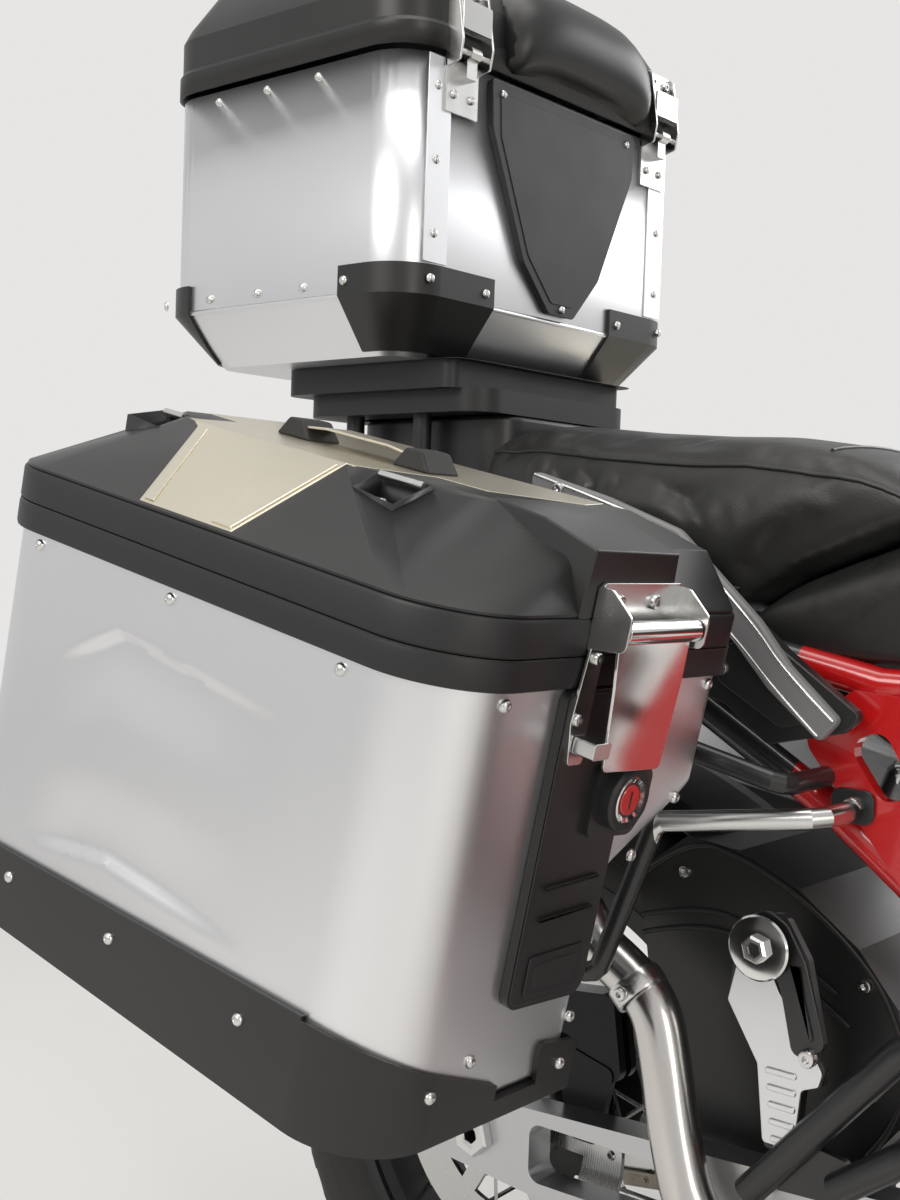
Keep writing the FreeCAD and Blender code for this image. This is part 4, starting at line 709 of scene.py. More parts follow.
def pad_ring(x, half, low, top, tuck, crown, round_by):
    """One cross-section of a seat: a flat foot, sides that lean in by a tuck, and a crowned top."""
    side_top = max(top - crown - round_by, low + 2)
    ring = [(half - tuck, low), (half - tuck * 0.35, low + (side_top - low) * 0.5), (half, side_top)]
    for k in range(1, 5):
        angle = math.pi / 2 * k / 4
        ring.append((half - round_by * (1 - math.cos(angle)), side_top + round_by * math.sin(angle)))
    edge = half - round_by
    ring += [(edge * share, top - crown * share * share) for share in (0.75, 0.5, 0.25, 0.0)]
    ring += [(-y, z) for y, z in ring[-2::-1]]
    return [at(x, y, z) for y, z in ring]


def swollen(pad):
    """Swell a pad as cloth under light pressure, each point by at most the cap."""
    start = [v.co.copy() for v in pad.data.vertices]
    swell = pad.modifiers.new("swell", "CLOTH")
    swell.settings.use_pressure = True
    swell.settings.uniform_pressure_force = SWELL_PRESSURE
    swell.settings.effector_weights.gravity = 0
    for step in range(1, SWELL_FRAMES + 1):
        bpy.context.scene.frame_set(step)
    moved = [v.co.copy() for v in worked(pad).vertices]
    pad.modifiers.clear()
    for vertex, here, there in zip(pad.data.vertices, start, moved):
        step = there - here
        vertex.co = here + (step.normalized() * min(step.length, SWELL_CAP) if step.length > 1e-9 else step)
    bpy.context.scene.frame_set(1)


def padded_seat(name, stations):
    """A leather pad through cross-sections, rounded and then swollen."""
    rings = [pad_ring(*station) for station in stations]
    count, size = len(rings), len(rings[0])
    pad = shaped(name, [p for ring in rings for p in ring], between(count, size) + ends(count, size),
                 leather, None,
                 sharp=180)
    voxels = pad.modifiers.new("voxels", "REMESH")
    voxels.mode, voxels.voxel_size, voxels.use_smooth_shade = "VOXEL", 0.0055, True
    soften = pad.modifiers.new("soften", "SMOOTH")
    soften.factor, soften.iterations = 0.5, 6
    pad.data = worked(pad)
    pad.modifiers.clear()
    swollen(pad)
    finer = pad.modifiers.new("finer", "SUBSURF")
    finer.levels = finer.render_levels = 1
    pad.data = worked(pad)
    pad.modifiers.clear()
    pad.data.materials.clear()
    pad.data.materials.append(leather.material)
    pad.data.shade_smooth()
    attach(pad, "chassis")
    return pad


def seam_on(pad, name, path, radius=2.0):
    """Piping laid on a pad along a path, each point moved to the pad's surface."""
    marks = [a.lerp(b, k / 6) for a, b in zip(path, path[1:]) for k in range(6)] + [path[-1]]
    laid = []
    for mark in marks:
        hit, spot, out, face = pad.closest_point_on_mesh(mark)
        laid.append(spot + out * 0.0004)
    tube(name, laid, radius, piping)


def upper_seam(stations, side):
    """A line along a seat's upper edge through some of its cross-sections."""
    return [at(x, side * (half - 3), top - crown - round_by * 0.4) for x, half, low, top, tuck, crown,
            round_by in stations]


# Each station is a place along the machine, half a width, a foot, a top, a tuck, a crown and a rounding.
RIDER = ((236, 122, 832, 845, 4, 3, 8), (262, 130, 818, 862, 8, 4, 14), (330, 134, 816, 890, 8, 5, 20),
         (392, 137, 815, 913, 8, 6, 22), (440, 139, 815, 905, 8, 6, 26), (520, 137, 815, 878, 8, 6, 26),
         (620, 124, 816, 872, 8, 6, 26), (700, 104, 820, 876, 6, 6, 24), (760, 86, 836, 880, 4, 5, 20),
         (790, 76, 852, 880, 3, 4, 14), (797, 70, 862, 876, 2, 3, 8))
PILLION = ((-84, 70, 930, 985, 6, 6, 26), (-74, 84, 918, 998, 8, 6, 30), (-40, 97, 904, 1004, 8, 6, 30),
           (20, 108, 886, 1004, 8, 6, 30), (100, 120, 872, 996, 8, 7, 30), (180, 127, 862, 991, 8, 8, 30),
           (240, 131, 852, 989, 8, 8, 30), (290, 133, 886, 982, 6, 8, 28), (340, 134, 906, 970, 4, 7, 22),
           (375, 133, 920, 953, 2, 5, 14), (394, 131, 927, 938, 1, 3, 5))
rider_pad = padded_seat("rider_seat_pad", RIDER)
pillion_pad = padded_seat("pillion_seat_pad", PILLION)
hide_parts("seats")
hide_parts("seats")
for side, hand in SIDES:
    seam_on(pillion_pad, "pillion_seam_" + hand, upper_seam(PILLION[1:-1], side))
    hem = [at(x, side * (half - tuck * 0.5), low + 13) for x, half, low, top, tuck, crown,
           round_by in PILLION[2:7]]
    seam_on(pillion_pad, "pillion_hem_" + hand, hem, 1.5)
    seam_on(rider_pad, "rider_seam_" + hand, upper_seam(RIDER[3:-1], side))
for x, pad, half, top in ((306, pillion_pad, 104, 978), (470, rider_pad, 108, 892),
                          (700, rider_pad, 76, 876)):
    seam_on(pad, "cross_seam_%d" % x, [at(x, y * half / 4, top + 20) for y in range(-4, 5)], 1.6)
SEAT_BASE = [(246, 838, 6), (300, 824, 10), (735, 820, 14), (790, 856, 8), (735, 826, 14), (372, 822, 10),
             (262, 846, 6)]
slab("seat_base", SEAT_BASE, -96, 96, lambda a, b, y: at(a, y, b - 4), black_plastic, 1.0)

# Side cases: 2.5 mm aluminium sheet, anodised satin silver, folded round large corners.
# Two soft steps are pressed into the outer face, and the seams and the base are riveted.
LENGTH, OUT, INNER, LOW_INNER = 470, 539, 233, 330
CORNER, INNER_CORNER = 60, 18
STEP_TOP, STEP_LOW = -82, -142
BACK, RISE = math.cos(math.radians(11.9)), math.sin(math.radians(11.9))
LID_FLAT, LID_FOLD, LID_EDGE, LID_EDGE_OUT = 98, 440, 47, 542.5


def thickened(piece, thick, offset=-1):
    """Give a skin a wall in millimetres, inwards unless the offset says otherwise."""
    wall = piece.modifiers.new("wall", "SOLIDIFY")
    wall.thickness, wall.offset = thick / 1000, offset


def on_case(side):
    """Places on a side case: back from its front face, out from the middle, up from its rim."""
    return lambda u, y, w: at(290 - u * BACK + w * RISE, side * y, 809 + u * RISE + w * BACK)


def smooth_step(a, b, value):
    """0 before a, 1 after b, and a soft rise between them."""
    share = min(max((value - a) / (b - a), 0.0), 1.0)
    return share * share * (3 - 2 * share)


# Each pressed step is a bent line of (u, w), and the way in which it fades.
PRESSED = ((((366, -84), (297, -46), (116, -56)), 1), (((370, -224), (279, -207), (120, -210)), -1))
PRESS_DEPTH = 5.0


def pressed(u, w):
    """Depth in millimetres of the two pressed steps: sharp along a bent line, fading away from it."""
    depth = 0.0
    for line, into in PRESSED:
        if line[-1][0] - 10 < u < line[0][0] + 10:
            before, after = (line[0], line[1]) if u > line[1][0] else (line[1], line[2])
            on_line = before[1] + (after[1] - before[1]) * (u - before[0]) / (after[0] - before[0])
            away = (on_line - w) * into
            fade = smooth_step(line[0][0] + 8, line[0][0] - 60, u)
            fade *= smooth_step(line[-1][0] - 8, line[-1][0] + 110, u)
            depth = max(depth, PRESS_DEPTH * fade * smooth_step(-3, 5, away) * smooth_step(66, 10, away))
    return depth


def inner_edge(w):
    """How far out the case's wheel side stands at a height, with its slanting step."""
    share = min(max((STEP_TOP - w) / (STEP_TOP - STEP_LOW), 0), 1)
    share = 0.8 * share + 0.2 * smooth_step(0, 1, share)
    return INNER + (LOW_INNER - INNER) * share


def case_ring(w, offset=0.0, dent=True):
    """The case's outline at one height as (u, y), all round, its faces moved out by an offset."""
    corner, out = CORNER + offset, OUT + offset
    small, inside = INNER_CORNER + offset, inner_edge(w) - offset
    front, rear, ring = -offset, LENGTH + offset, []

    def turn(u, y, radius, start, steps):
        for k in range(steps):
            angle = start + math.pi / 2 * k / steps
            ring.append((u - radius * math.cos(angle), y + radius * math.sin(angle)))

    def run(start, stop, steps, press=False):
        for k in range(steps):
            u, y = (a + (b - a) * k / steps for a, b in zip(start, stop))
            ring.append((u, y - (pressed(u, w) if press and dent else 0)))

    turn(front + small, inside + small, small, -math.pi / 2, 5)
    run((front, inside + small), (front, out - corner), 10)
    turn(front + corner, out - corner, corner, 0, 12)
    run((front + corner, out), (rear - corner, out), 90, True)
    turn(rear - corner, out - corner, corner, math.pi / 2, 12)
    run((rear, out - corner), (rear, inside + small), 10)
    turn(rear - small, inside + small, small, math.pi, 5)
    run((rear - small, inside), (front + small, inside), 14)
    return ring


def ring_band(name, profile, place, finish, body="chassis"):
    """A band round the case: a closed profile of (out from the case's faces, height)."""
    points = [place(u, y, w) for extra, w in profile for u, y in case_ring(-1, extra, False)]
    shaped(name, points, between(len(profile), len(points) // len(profile), True), finish, body)


def facets(name, points, finish, body="chassis", open_towards=None, wall=0.0, crease=12, bevel=1.2):
    """A faceted skin over points, open on one side where it is a lid, with its edges eased."""
    tool = bmesh.new()
    for p in points:
        tool.verts.new(p)
    made = bmesh.ops.convex_hull(tool, input=tool.verts)
    spare = [e for e in made["geom_interior"] if isinstance(e, bmesh.types.BMVert)]
    bmesh.ops.delete(tool, geom=spare, context="VERTS")
    bmesh.ops.dissolve_limit(tool, angle_limit=math.radians(0.8), verts=tool.verts, edges=tool.edges)
    bmesh.ops.recalc_face_normals(tool, faces=tool.faces)
    if open_towards:
        gone = [f for f in tool.faces if f.normal.dot(open_towards) > 0.95]
        bmesh.ops.delete(tool, geom=gone, context="FACES_ONLY")
    mesh = bpy.data.meshes.new(name)
    tool.to_mesh(mesh)
    tool.free()
    piece = placed(name, finished(mesh, finish, crease))
    if wall:
        thickened(piece, wall)
    eased(piece, bevel, 3, crease)
    if body:
        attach(piece, body)
    return piece


def carve(piece, cutters):
    """Cut the shapes of other pieces out of a piece, and drop those."""
    for cutter in cutters:
        cut = piece.modifiers.new("cut", "BOOLEAN")
        cut.object, cut.solver = cutter, "EXACT"
    mesh = worked(piece)
    piece.modifiers.clear()
    piece.data = mesh
    for cutter in cutters:
        bpy.data.objects.remove(cutter)


def folded(name, corners, loops, finish, body, thick, bevel=0.6):
    """Sheet folded over a form: faces through numbered corners, given a thickness outwards."""
    piece = shaped(name, corners, loops, finish, body, sharp=8, outward=False)
    thickened(piece, thick, 1)
    eased(piece, bevel, angle=20)


def on_facet(y):
    """Height of the lid's outer facet, which falls from the flat top to the band, at a distance out."""
    return LID_FLAT - (y - LID_FOLD) * (LID_FLAT - LID_EDGE) / (LID_EDGE_OUT - LID_FOLD)


lid_metal = Finish("warm_aluminium", (0.8, 0.745, 0.6), 0.3, 1.0)
lid_metal.shaded(5, 3, (0.74, 0.69, 0.56), (0.86, 0.81, 0.68)).patchy(45, 5, 0.12, 0.26, 0.6, (1, 12, 1))
lid_metal.grained(130, 4, 0.05, 0.0002, 0.6, (1, 14, 1))
lock_red = Finish("red_insert", (0.5, 0.012, 0.01), 0.25, 0.0, Coat_Weight=0.8).patchy(90, 3, 0.15, 0.18)

# Rows of rivets on a case: places of (u, y, w) on its outer face, its front and its rear.
OUTER_ROW = [(u, OUT, -9) for u in (404, 249, 84)]
FRONT_ROW = [(0, 484, -9), (0, 252, -8), (0, 262, -92), (0, 304, -130), (0, 336, -187), (0, 338, -244),
             (0, 444, -250)]
REAR_ROW = [(LENGTH, 446, -9), (LENGTH, 300, -9), (LENGTH, 446, -225), (LENGTH, 350, -225)]
GUARD_ROW = [(376, 543, -258), (251, 543, -254), (113, 543, -250)]
GUARD_FRONT = [(-4, 484, -262), (-4, 344, -276)]
RIM_BAND = [(0.4, 0.4), (3.8, 0), (5.2, 1.0), (5.7, 3.2), (5.7, 16.8), (4.8, 19.6), (0.4, 20.0)]
LID_BAND = [(0.4, 20.7), (4.6, 20.7), (5.6, 22.2), (5.6, 42.2), (4.6, 44.2), (2.4, 45.0), (0.4, 45.2)]
SHEET_LEVELS = [(16.5 - 3.75 * k, 0) for k in range(80)] + [(-281, -0.5), (-284, -2.5), (-285, -6)]
LID_TOP = [(u, y, LID_FLAT) for u, y in ((208, 440), (384, 440), (436, 398), (436, 258), (90, 258),
                                         (82, 400))]
LID_TOP += [(18, 406, 87), (18, 262, 85)]
POCKETS = (((137, 428), (184, 428), (176, 462), (132, 468)),
           ((398, 424), (430, 422), (434, 456), (392, 460)))
PANEL = ((200, 540), (297, 540), (362, 446), (206, 446), (384, 436), (392, 380), (436, 374), (433, 262),
         (112, 262), (101, 300), (130, 377), (176, 377), (200, 440))
PANEL_RIBS = (("front", ((203, 538), (224, 538), (262, 446), (209, 446)), 1.6),
              ("rear", ((284, 538), (295, 538), (358, 448), (348, 448)), 1.4))
TOWER = ((-5, 331, 44), (-5, 434, 44), (-5, 335, 87), (-5, 430, 88), (40, 338, 99), (44, 424, 98),
         (98, 350, 99.5),
         (104, 404, 99), (98, 350, 60), (104, 404, 60), (60, 434, 44), (60, 331, 44))
STRAP = ((338, 101.5), (322, 109), (300, 111.5), (234, 111.5), (212, 109), (197, 101.5))
# Plates of the latch and the strip on the front face: an outline of (y, w, radius), two depths and a bevel.
BRACKET = [(331, 68, 3), (419, 68, 3), (421, 24, 2), (310, 40, 3), (312, 46, 2)]
BRACKET_EAR = [(5.6, 66, 2), (16, 66, 4), (34, 52, 6), (34, 30, 5), (5.6, 26, 2)]
WING = [(406, 27, 2), (421, 27, 2), (426, -22, 3), (420, -50, 4), (404, -50, 3), (407, -26, 2)]
LEVER = [(335, 34, 1), (417, 34, 1), (411, 4, 4), (404, -50, 4), (338, -54, 5), (334, 6, 4)]
STRIP_PLATES = (("strip_frame", [(345, -4, 6), (429, -4, 6), (426, -214, 10), (343, -219, 10)], 6.8, 8.0,
                 black_plastic, 1.0),
                ("strip_pad", [(353, -181, 4), (414, -181, 4), (414, -209, 4), (353, -213, 4)], 7.8, 9.4,
                 matte_black, 1.4),
                ("strip_pad_middle", [(360, -187, 3), (407, -187, 3), (407, -203, 3), (360, -206, 3)], 9.2,
                 9.9,
                 black_plastic, 0.4), ("key_slot", rectangle(354.2, -70, 355.8, -82, 0.5), 20.6, 21.1,
                                       matte_black, 0.1))
COLLAR = [(15, -4), (22.5, -4), (22.5, 7), (20.5, 9.6), (17, 9.6), (15, 7)]
LOCK_RING = [(12.2, 2), (16.8, 2), (16.8, 8.2), (15, 9.4), (12.2, 8.2)]
BARREL = [(0.3, 2), (12, 2), (12, 6.4), (10, 8.8), (0.3, 8.8)]

for side, hand in SIDES:
    place = on_case(side)
    lid_body, lever_body = "case_lid_%s_body" % hand, "case_lever_%s_body" % hand
    outward = Vector((0, side, 0))
    forward = (place(-1, 0, 0) - place(0, 0, 0)).normalized()
    upright = (place(0, 0, 1) - place(0, 0, 0)).normalized()
    size = len(case_ring(0))
    sheet_points = [place(u, y, w) for w, extra in SHEET_LEVELS for u, y in case_ring(w, extra)]
    shell = shaped("case_sheet_" + hand, sheet_points,
                   between(len(SHEET_LEVELS), size) + ends(len(SHEET_LEVELS), size)[1:], aluminium,
                   "chassis")
    thickened(shell, 2.4)
    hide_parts("case_shell_" + hand)
    ring_band("case_rim_" + hand, RIM_BAND, place, matte_black)
    for label, rows in (("case", ((OUTER_ROW, outward), (FRONT_ROW, forward), (REAR_ROW, -forward))),
                        ("guard", ((GUARD_ROW, outward), (GUARD_FRONT, forward)))):
        heads("%s_rivets_%s" % (label, hand), rivet, [(place(*spot), way) for row, way in rows
                                                      for spot in row], steel)
    dress(black_plastic, "case_trim_" + hand)

    # Lid: a moulded black skin over a flat band, with an aluminium panel let in over its middle.
    ring_band("lid_band_" + hand, LID_BAND, place, matte_black, lid_body)
    skirt = [place(u, y, w) for u, y in case_ring(-1, 3.4, False) for w in (45.2, LID_EDGE)]
    lid = facets("lid_skin_" + hand, skirt + [place(*spot) for spot in LID_TOP], black_plastic, None,
                 -upright, 2.6)
    cutters = []
    for k, corners in enumerate(POCKETS):
        deep = [place(u, y, on_facet(y) - 17 if y > LID_FOLD else 79) for u, y in corners]
        proud = [place(u, y, 112) for u, y in corners]
        cutters.append(facets("pocket_cut", deep + proud, black_plastic, None, crease=30, bevel=0.1))
        lip = [place(u, y, min(on_facet(y), 97.6) + 0.5) for u, y in corners]
        tray = shaped("eye_pocket_%s_%d" % (hand, k + 1), deep + lip, ends(2, 4)[:1] + between(2, 4),
                      matte_black,
                      lid_body, outward=False)
        thickened(tray, 1.6, 0)
        (u0, y0), (u1, y1) = corners[0], corners[1]
        tube("lashing_bar_%s_%d" % (hand, k + 1),
             [place(u0 + 3, y0 + 4, 96.5), place(u1 - 3, y1 + 4, 96.5)], 3.0,
             steel, lid_body, order=2)
        turned("eye_screw_%s_%d" % (hand, k + 1), [(0.2, 0), (5, 0), (5, 2.4), (3.6, 3.6), (0.2, 3.8)],
               place((u0 + u1) / 2, 450, 80), upright, steel, 20, lid_body)
    carve(lid, cutters)
    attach(lid, lid_body)
    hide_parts("case_lid_" + hand)
    panel = [place(u, y, min(on_facet(y), 98.0) + 0.4) for u, y in PANEL]
    panel += [place(374, LID_FOLD, 98.4), place(206.5, LID_FOLD, 98.4)]
    flip = 1 if side < 0 else -1
    loops = [(0, 1, 2, 13, 14, 3)[::flip], (14, 13, 4, 5, 6, 7, 8, 9, 10, 11, 12)[::flip]]
    folded("lid_panel_" + hand, panel, loops, lid_metal, lid_body, 1.8)
    for label, corners, thick in PANEL_RIBS:
        folded("panel_rib_%s_%s" % (label, hand), [place(u, y, on_facet(y) + 2) for u, y in corners],
               [(0, 1, 2, 3)[::flip]], lid_metal, lid_body, thick, 1.2)
    facets("latch_tower_" + hand, [place(*spot) for spot in TOWER], black_plastic, lid_body, crease=14,
           bevel=1.6)

    # Carry handle: a strip of the panel's aluminium in two rubber ends.
    folded("carry_strap_" + hand, [place(u, y, w) for u, w in STRAP for y in (346, 374)],
           [(2 * i, 2 * i + 1, 2 * i + 3, 2 * i + 2)[::-flip] for i in range(5)], lid_metal, lid_body, 2.0)
    for k, (u0, u1) in enumerate(((312, 350), (186, 224))):
        foot = [place(u, y, 98.4) for u in (u0, u1) for y in (342, 378)]
        head = [place(u, y, 113.2) for u in ((u0 + u1) / 2 - 7, (u0 + u1) / 2 + 9) for y in (344, 376)]
        facets("strap_end_%s_%d" % (hand, k + 1), foot + head, rubber_black, lid_body, crease=25, bevel=2.2)

    # Latch: a folded steel bracket screwed to the tower, a rolled bar and a spring-steel lever.
    def on_front(y, w, depth):
        return place(-depth, y, w)

    bracket = slab("latch_bracket_" + hand, BRACKET, 5.6, 8.6, on_front, steel, 0.5, lid_body)
    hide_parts("case_lid_fittings_" + hand)
    for y in (329, 419):
        slab("bracket_ear_%s_%d" % (hand, y), BRACKET_EAR, y, y + 2.2, lambda a, b,
             depth: place(-a, depth, b), steel,
             0.4, lid_body)
    slab("latch_wing_" + hand, WING, 7.4, 9.6, on_front, steel, 0.5)
    turned("roll_bar_" + hand, [(2.2, -42), (7.6, -42), (7.6, 42), (2.2, 42)], place(-26, 375, 41), outward,
           bright_steel, 28, lever_body, bevel=0.8)
    lever = slab("latch_lever_" + hand, LEVER, 24.2, 26.4, on_front, bright_steel, 0.5, lever_body)
    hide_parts("case_lever_" + hand)
    slab("lever_hook_" + hand, rectangle(402, -30, 420, -41, 2), 10.0, 27.0, on_front, steel, 0.6,
         lever_body)
    spots = [(on_front(y, 56, 8.6), forward) for y in (402, 361)]
    spots += [(on_front(y, w, 9.6), forward, (0.8, 0.8, 0.8)) for y, w in ((413, 20), (421, -19))]
    heads("latch_screws_" + hand, socket_screw, spots, steel, lid_body)

    # Strip and lock: a moulded strip with two ribs and a recessed pad, and a key lock in a round housing.
    for label, outline, low, high, finish, bevel in STRIP_PLATES:
        slab("%s_%s" % (label, hand), outline, low, high, on_front, finish, bevel)
    for k, w in enumerate((-133, -155)):
        slab("strip_rib_%s_%d" % (hand, k + 1), [(356, w + 2, 2), (414, w + 1, 2), (414, w - 2, 2),
                                                 (356, w - 1, 2)],
             7.9, 10.2, on_front, black_plastic)
    lock_at = place(-12, 355, -76)
    turned("lock_collar_" + hand, COLLAR, lock_at, forward, matte_black, bevel=0.6)
    turned("lock_ring_" + hand, LOCK_RING, lock_at, forward, bright_steel)
    turned("lock_barrel_" + hand, BARREL, lock_at, forward, lock_red)

# Top case: aluminium sheet like the side cases, on a slanting tray, with a moulded black lid.
# Its corners are covered by black guards, and a blank shield plate is riveted to its front.
TOP_FRONT, TOP_REAR, TOP_HALF = -50, -383, 217
TOP_LID = "top_case_lid_body"


def ahead_of(y, z, x):
    """Places for a slab that faces forward: to the left, up, and forward."""
    return at(x, y, z)


def top_ring(inset, corner, z):
    """The top case's outline at one height."""
    x0, x1, half = TOP_FRONT - inset, TOP_REAR + inset, TOP_HALF - inset
    flat = arc_corners([(x0, -half, corner), (x0, half, corner), (x1, half, corner), (x1, -half, corner)],
                       8)
    return [at(x, y, z) for x, y in flat]


def lofted(name, levels, finish, body, closed, wall, sharp):
    """A skin through the top case's outline at some levels, closed at its foot, its top or neither."""
    count, size = len(levels), len(top_ring(*levels[0]))
    faces = between(count, size) + {"foot": ends(count, size)[:1], "top": ends(count, size)[1:],
                                    "": []}[closed]
    made = shaped(name, [p for level in levels for p in top_ring(*level)], faces, finish, None, sharp=sharp)
    thickened(made, wall)
    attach(made, body)
    return made


SHEET_RINGS = ((38, 30, 1065), (37, 31, 1066.5), (1.5, 44, 1112.5), (0, 45, 1117), (0, 45, 1328))
top_sheet = lofted("top_case_sheet", SHEET_RINGS, aluminium, "chassis", "foot", 2.4, 24)
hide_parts("top_case_shell")
lofted("tray_edge", ((-1.0, 46, 1113), (-1.0, 46, 1117.5)), aluminium, "chassis", "", 0.9, 32)
guard_spots = []
for side, hand in SIDES:
    spots = [(at(x, side * TOP_HALF, z), (0, side, 0)) for z, row in ((1318, (-301, -232, -163)),
                                                                      (1127, (-307, -239, -176)))
             for x in row]
    spots += [(at(x, side * 180, z), (way, 0, 0)) for x, way in ((TOP_FRONT, 1), (TOP_REAR, -1))
              for z in (1300, 1235, 1170)]
    heads("top_case_rivets_" + hand, rivet, spots, steel)
    slab("front_flange_" + hand, rectangle(side * 162, 1326, side * 193, 1144, 1), -49.9, -48.7, ahead_of,
         aluminium, 0.3)
    guard_spots += [(at(-119, side * 221, 1128), (0, side, 0)),
                    (at(-377, side * 214, 1126), (-0.6, side, 0)),
                    (at(-46, side * 186, 1129), (1, 0, 0)), (at(-46, side * 108, 1127), (1, 0, 0))]
heads("top_guard_rivets", rivet, guard_spots, steel)
dress(black_plastic, "top_case_trim")
SHIELD = [(-112, 1322, 5), (124, 1322, 5), (121, 1278, 20), (67, 1165, 16), (26, 1121, 8), (-14, 1121, 8),
          (-57, 1165, 16), (-109, 1278, 20)]
slab("shield_plate", SHIELD, -44.2, -42.6, ahead_of, matte_black, 1.0)
slab("shield_field", [(6 + (y - 6) * 0.9, 1230 + (z - 1230) * 0.9, r) for y, z, r in SHIELD], -42.7, -41.8,
     ahead_of,
     matte_black)
screws("shield_rivets", [at(-42.6, y, z) for y, z in ((6, 1128), (-96, 1312), (108, 1312))], (1, 0, 0), 0.9,
       head=rivet)

# Lid of the top case: a domed black moulding with a soft-edged step, a front bulge and a lashing frame.
# It turns on two steel hinges at the front of the case.
LID_RINGS = ((-5.5, 51, 1332), (-5.5, 51, 1352), (-3, 49, 1356), (-3, 49, 1386), (2, 47, 1398),
             (20, 46, 1431),
             (27, 44, 1438), (40, 40, 1441))
top_lid = lofted("top_lid_skin", LID_RINGS, black_plastic, TOP_LID, "top", 3.0, 22)
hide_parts("top_case_lid")
BULGE = ((-47, 1346), (-27, 1349), (-17, 1360), (-14, 1380), (-20, 1402), (-33, 1420), (-56, 1434),
         (-90, 1440))
BULGE_MIDDLE, BULGE_HALF, BULGE_ROWS = 21, 116, 13
dome = []
for k in range(BULGE_ROWS):
    share = -1 + 2 * k / (BULGE_ROWS - 1)
    drop, side_drop = 22 * share ** 4, 16 * share ** 6
    dome += [at(x - side_drop, BULGE_MIDDLE + BULGE_HALF * share, z - drop) for x, z in BULGE]
size, last = len(BULGE), BULGE_ROWS - 1
quads = [(k * size + i, k * size + i + 1, (k + 1) * size + i + 1, (k + 1) * size + i)
         for k in range(last) for i in range(size - 1)]
quads += ends(BULGE_ROWS, size) + [tuple(k * size + i for k in range(BULGE_ROWS)) for i in (0, size - 1)]
bulge = shaped("lid_bulge", dome, quads, black_plastic, TOP_LID, sharp=50)
swell = bulge.modifiers.new("swell", "SUBSURF")
swell.levels = swell.render_levels = 1
CHEEK = [(-49, 1396, 3), (-38, 1398, 5), (-29, 1340, 5), (-32, 1322, 4), (-49, 1318, 2)]
for hinge_y in (-150, 165):
    label = hinge_y + 400
    low_y, high_y = hinge_y - 20, hinge_y + 20
    for inner_y in (hinge_y - 22, hinge_y + 19.5):
        slab("hinge_cheek_%d" % (inner_y + 400), CHEEK, inner_y, inner_y + 2.5, beside(1),
             steel, 0.5, TOP_LID)
    slab("hinge_plate_%d" % label, rectangle(low_y, 1398, high_y, 1352, 3), -45.5, -43.2, ahead_of, steel,
         0.4, TOP_LID)
    slab("hinge_bridge_%d" % label, rectangle(low_y, 1376, high_y, 1350, 2), -33.0, -30.6, ahead_of,
         bright_steel, 0.5,
         TOP_LID)
    pair = (hinge_y - 12, hinge_y + 12)
    screws("hinge_screws_%d" % label, [at(-43.2, y, 1388) for y in pair], (1, 0, 0), 0.9, TOP_LID)
    screws("hinge_rivets_%d" % label, [at(-46.5, y, 1296) for y in pair], (1, 0, 0), 0.9, head=rivet)
dress(steel, "top_case_hinges")
RAIL = ((-90, 150, 1436), (-96, 156, 1441.5), (-150, 160, 1441.8), (-280, 160, 1441.8), (-336, 156, 1441.5),
        (-342, 150, 1436))
for side, hand in SIDES:
    tube("lid_rail_" + hand, [at(x, side * y, z) for x, y, z in RAIL], 3.5, matte_black, TOP_LID)

# Hugger, hangers and carriers: moulded black cowl with two grooves, and black bars that carry a
# rubber bush, a pressed strap and the ribbed plate of each peg.
dress(black_plastic, "hugger")
peg_black = Finish("satin_black_metal", (0.012, 0.012, 0.013), 0.34, 0.0, Coat_Weight=0.3,
                   Coat_Roughness=0.3)
peg_black.patchy(30, 4, 0.14, 0.27).grained(800, 3, 0.14, 0.0003)
dress(peg_black, "footrests")
GROOVES = (((134, 577), (190, 596), (250, 588), (318, 548)),
           ((136, 562), (192, 582), (254, 573), (330, 524)))
HUGGER_LIP = ((132, 612), (177, 650), (226, 645), (281, 622), (334, 584), (367, 545), (384, 471),
              (349, 426))
STRAP_FACE = [(264, 580, 6), (270, 612, 10), (290, 624, 14), (308, 614, 12), (324, 588, 14), (343, 526, 8),
              (318, 511, 8), (302, 570, 8), (288, 582, 8)]
HANGER = [(263, 574, 8), (256, 544, 4), (284, 500, 4), (291, 440, 4), (318, 440, 4), (322, 488, 5),
          (336, 494, 4),
          (339, 505, 6), (322, 530, 8), (300, 560, 10), (284, 590, 6)]
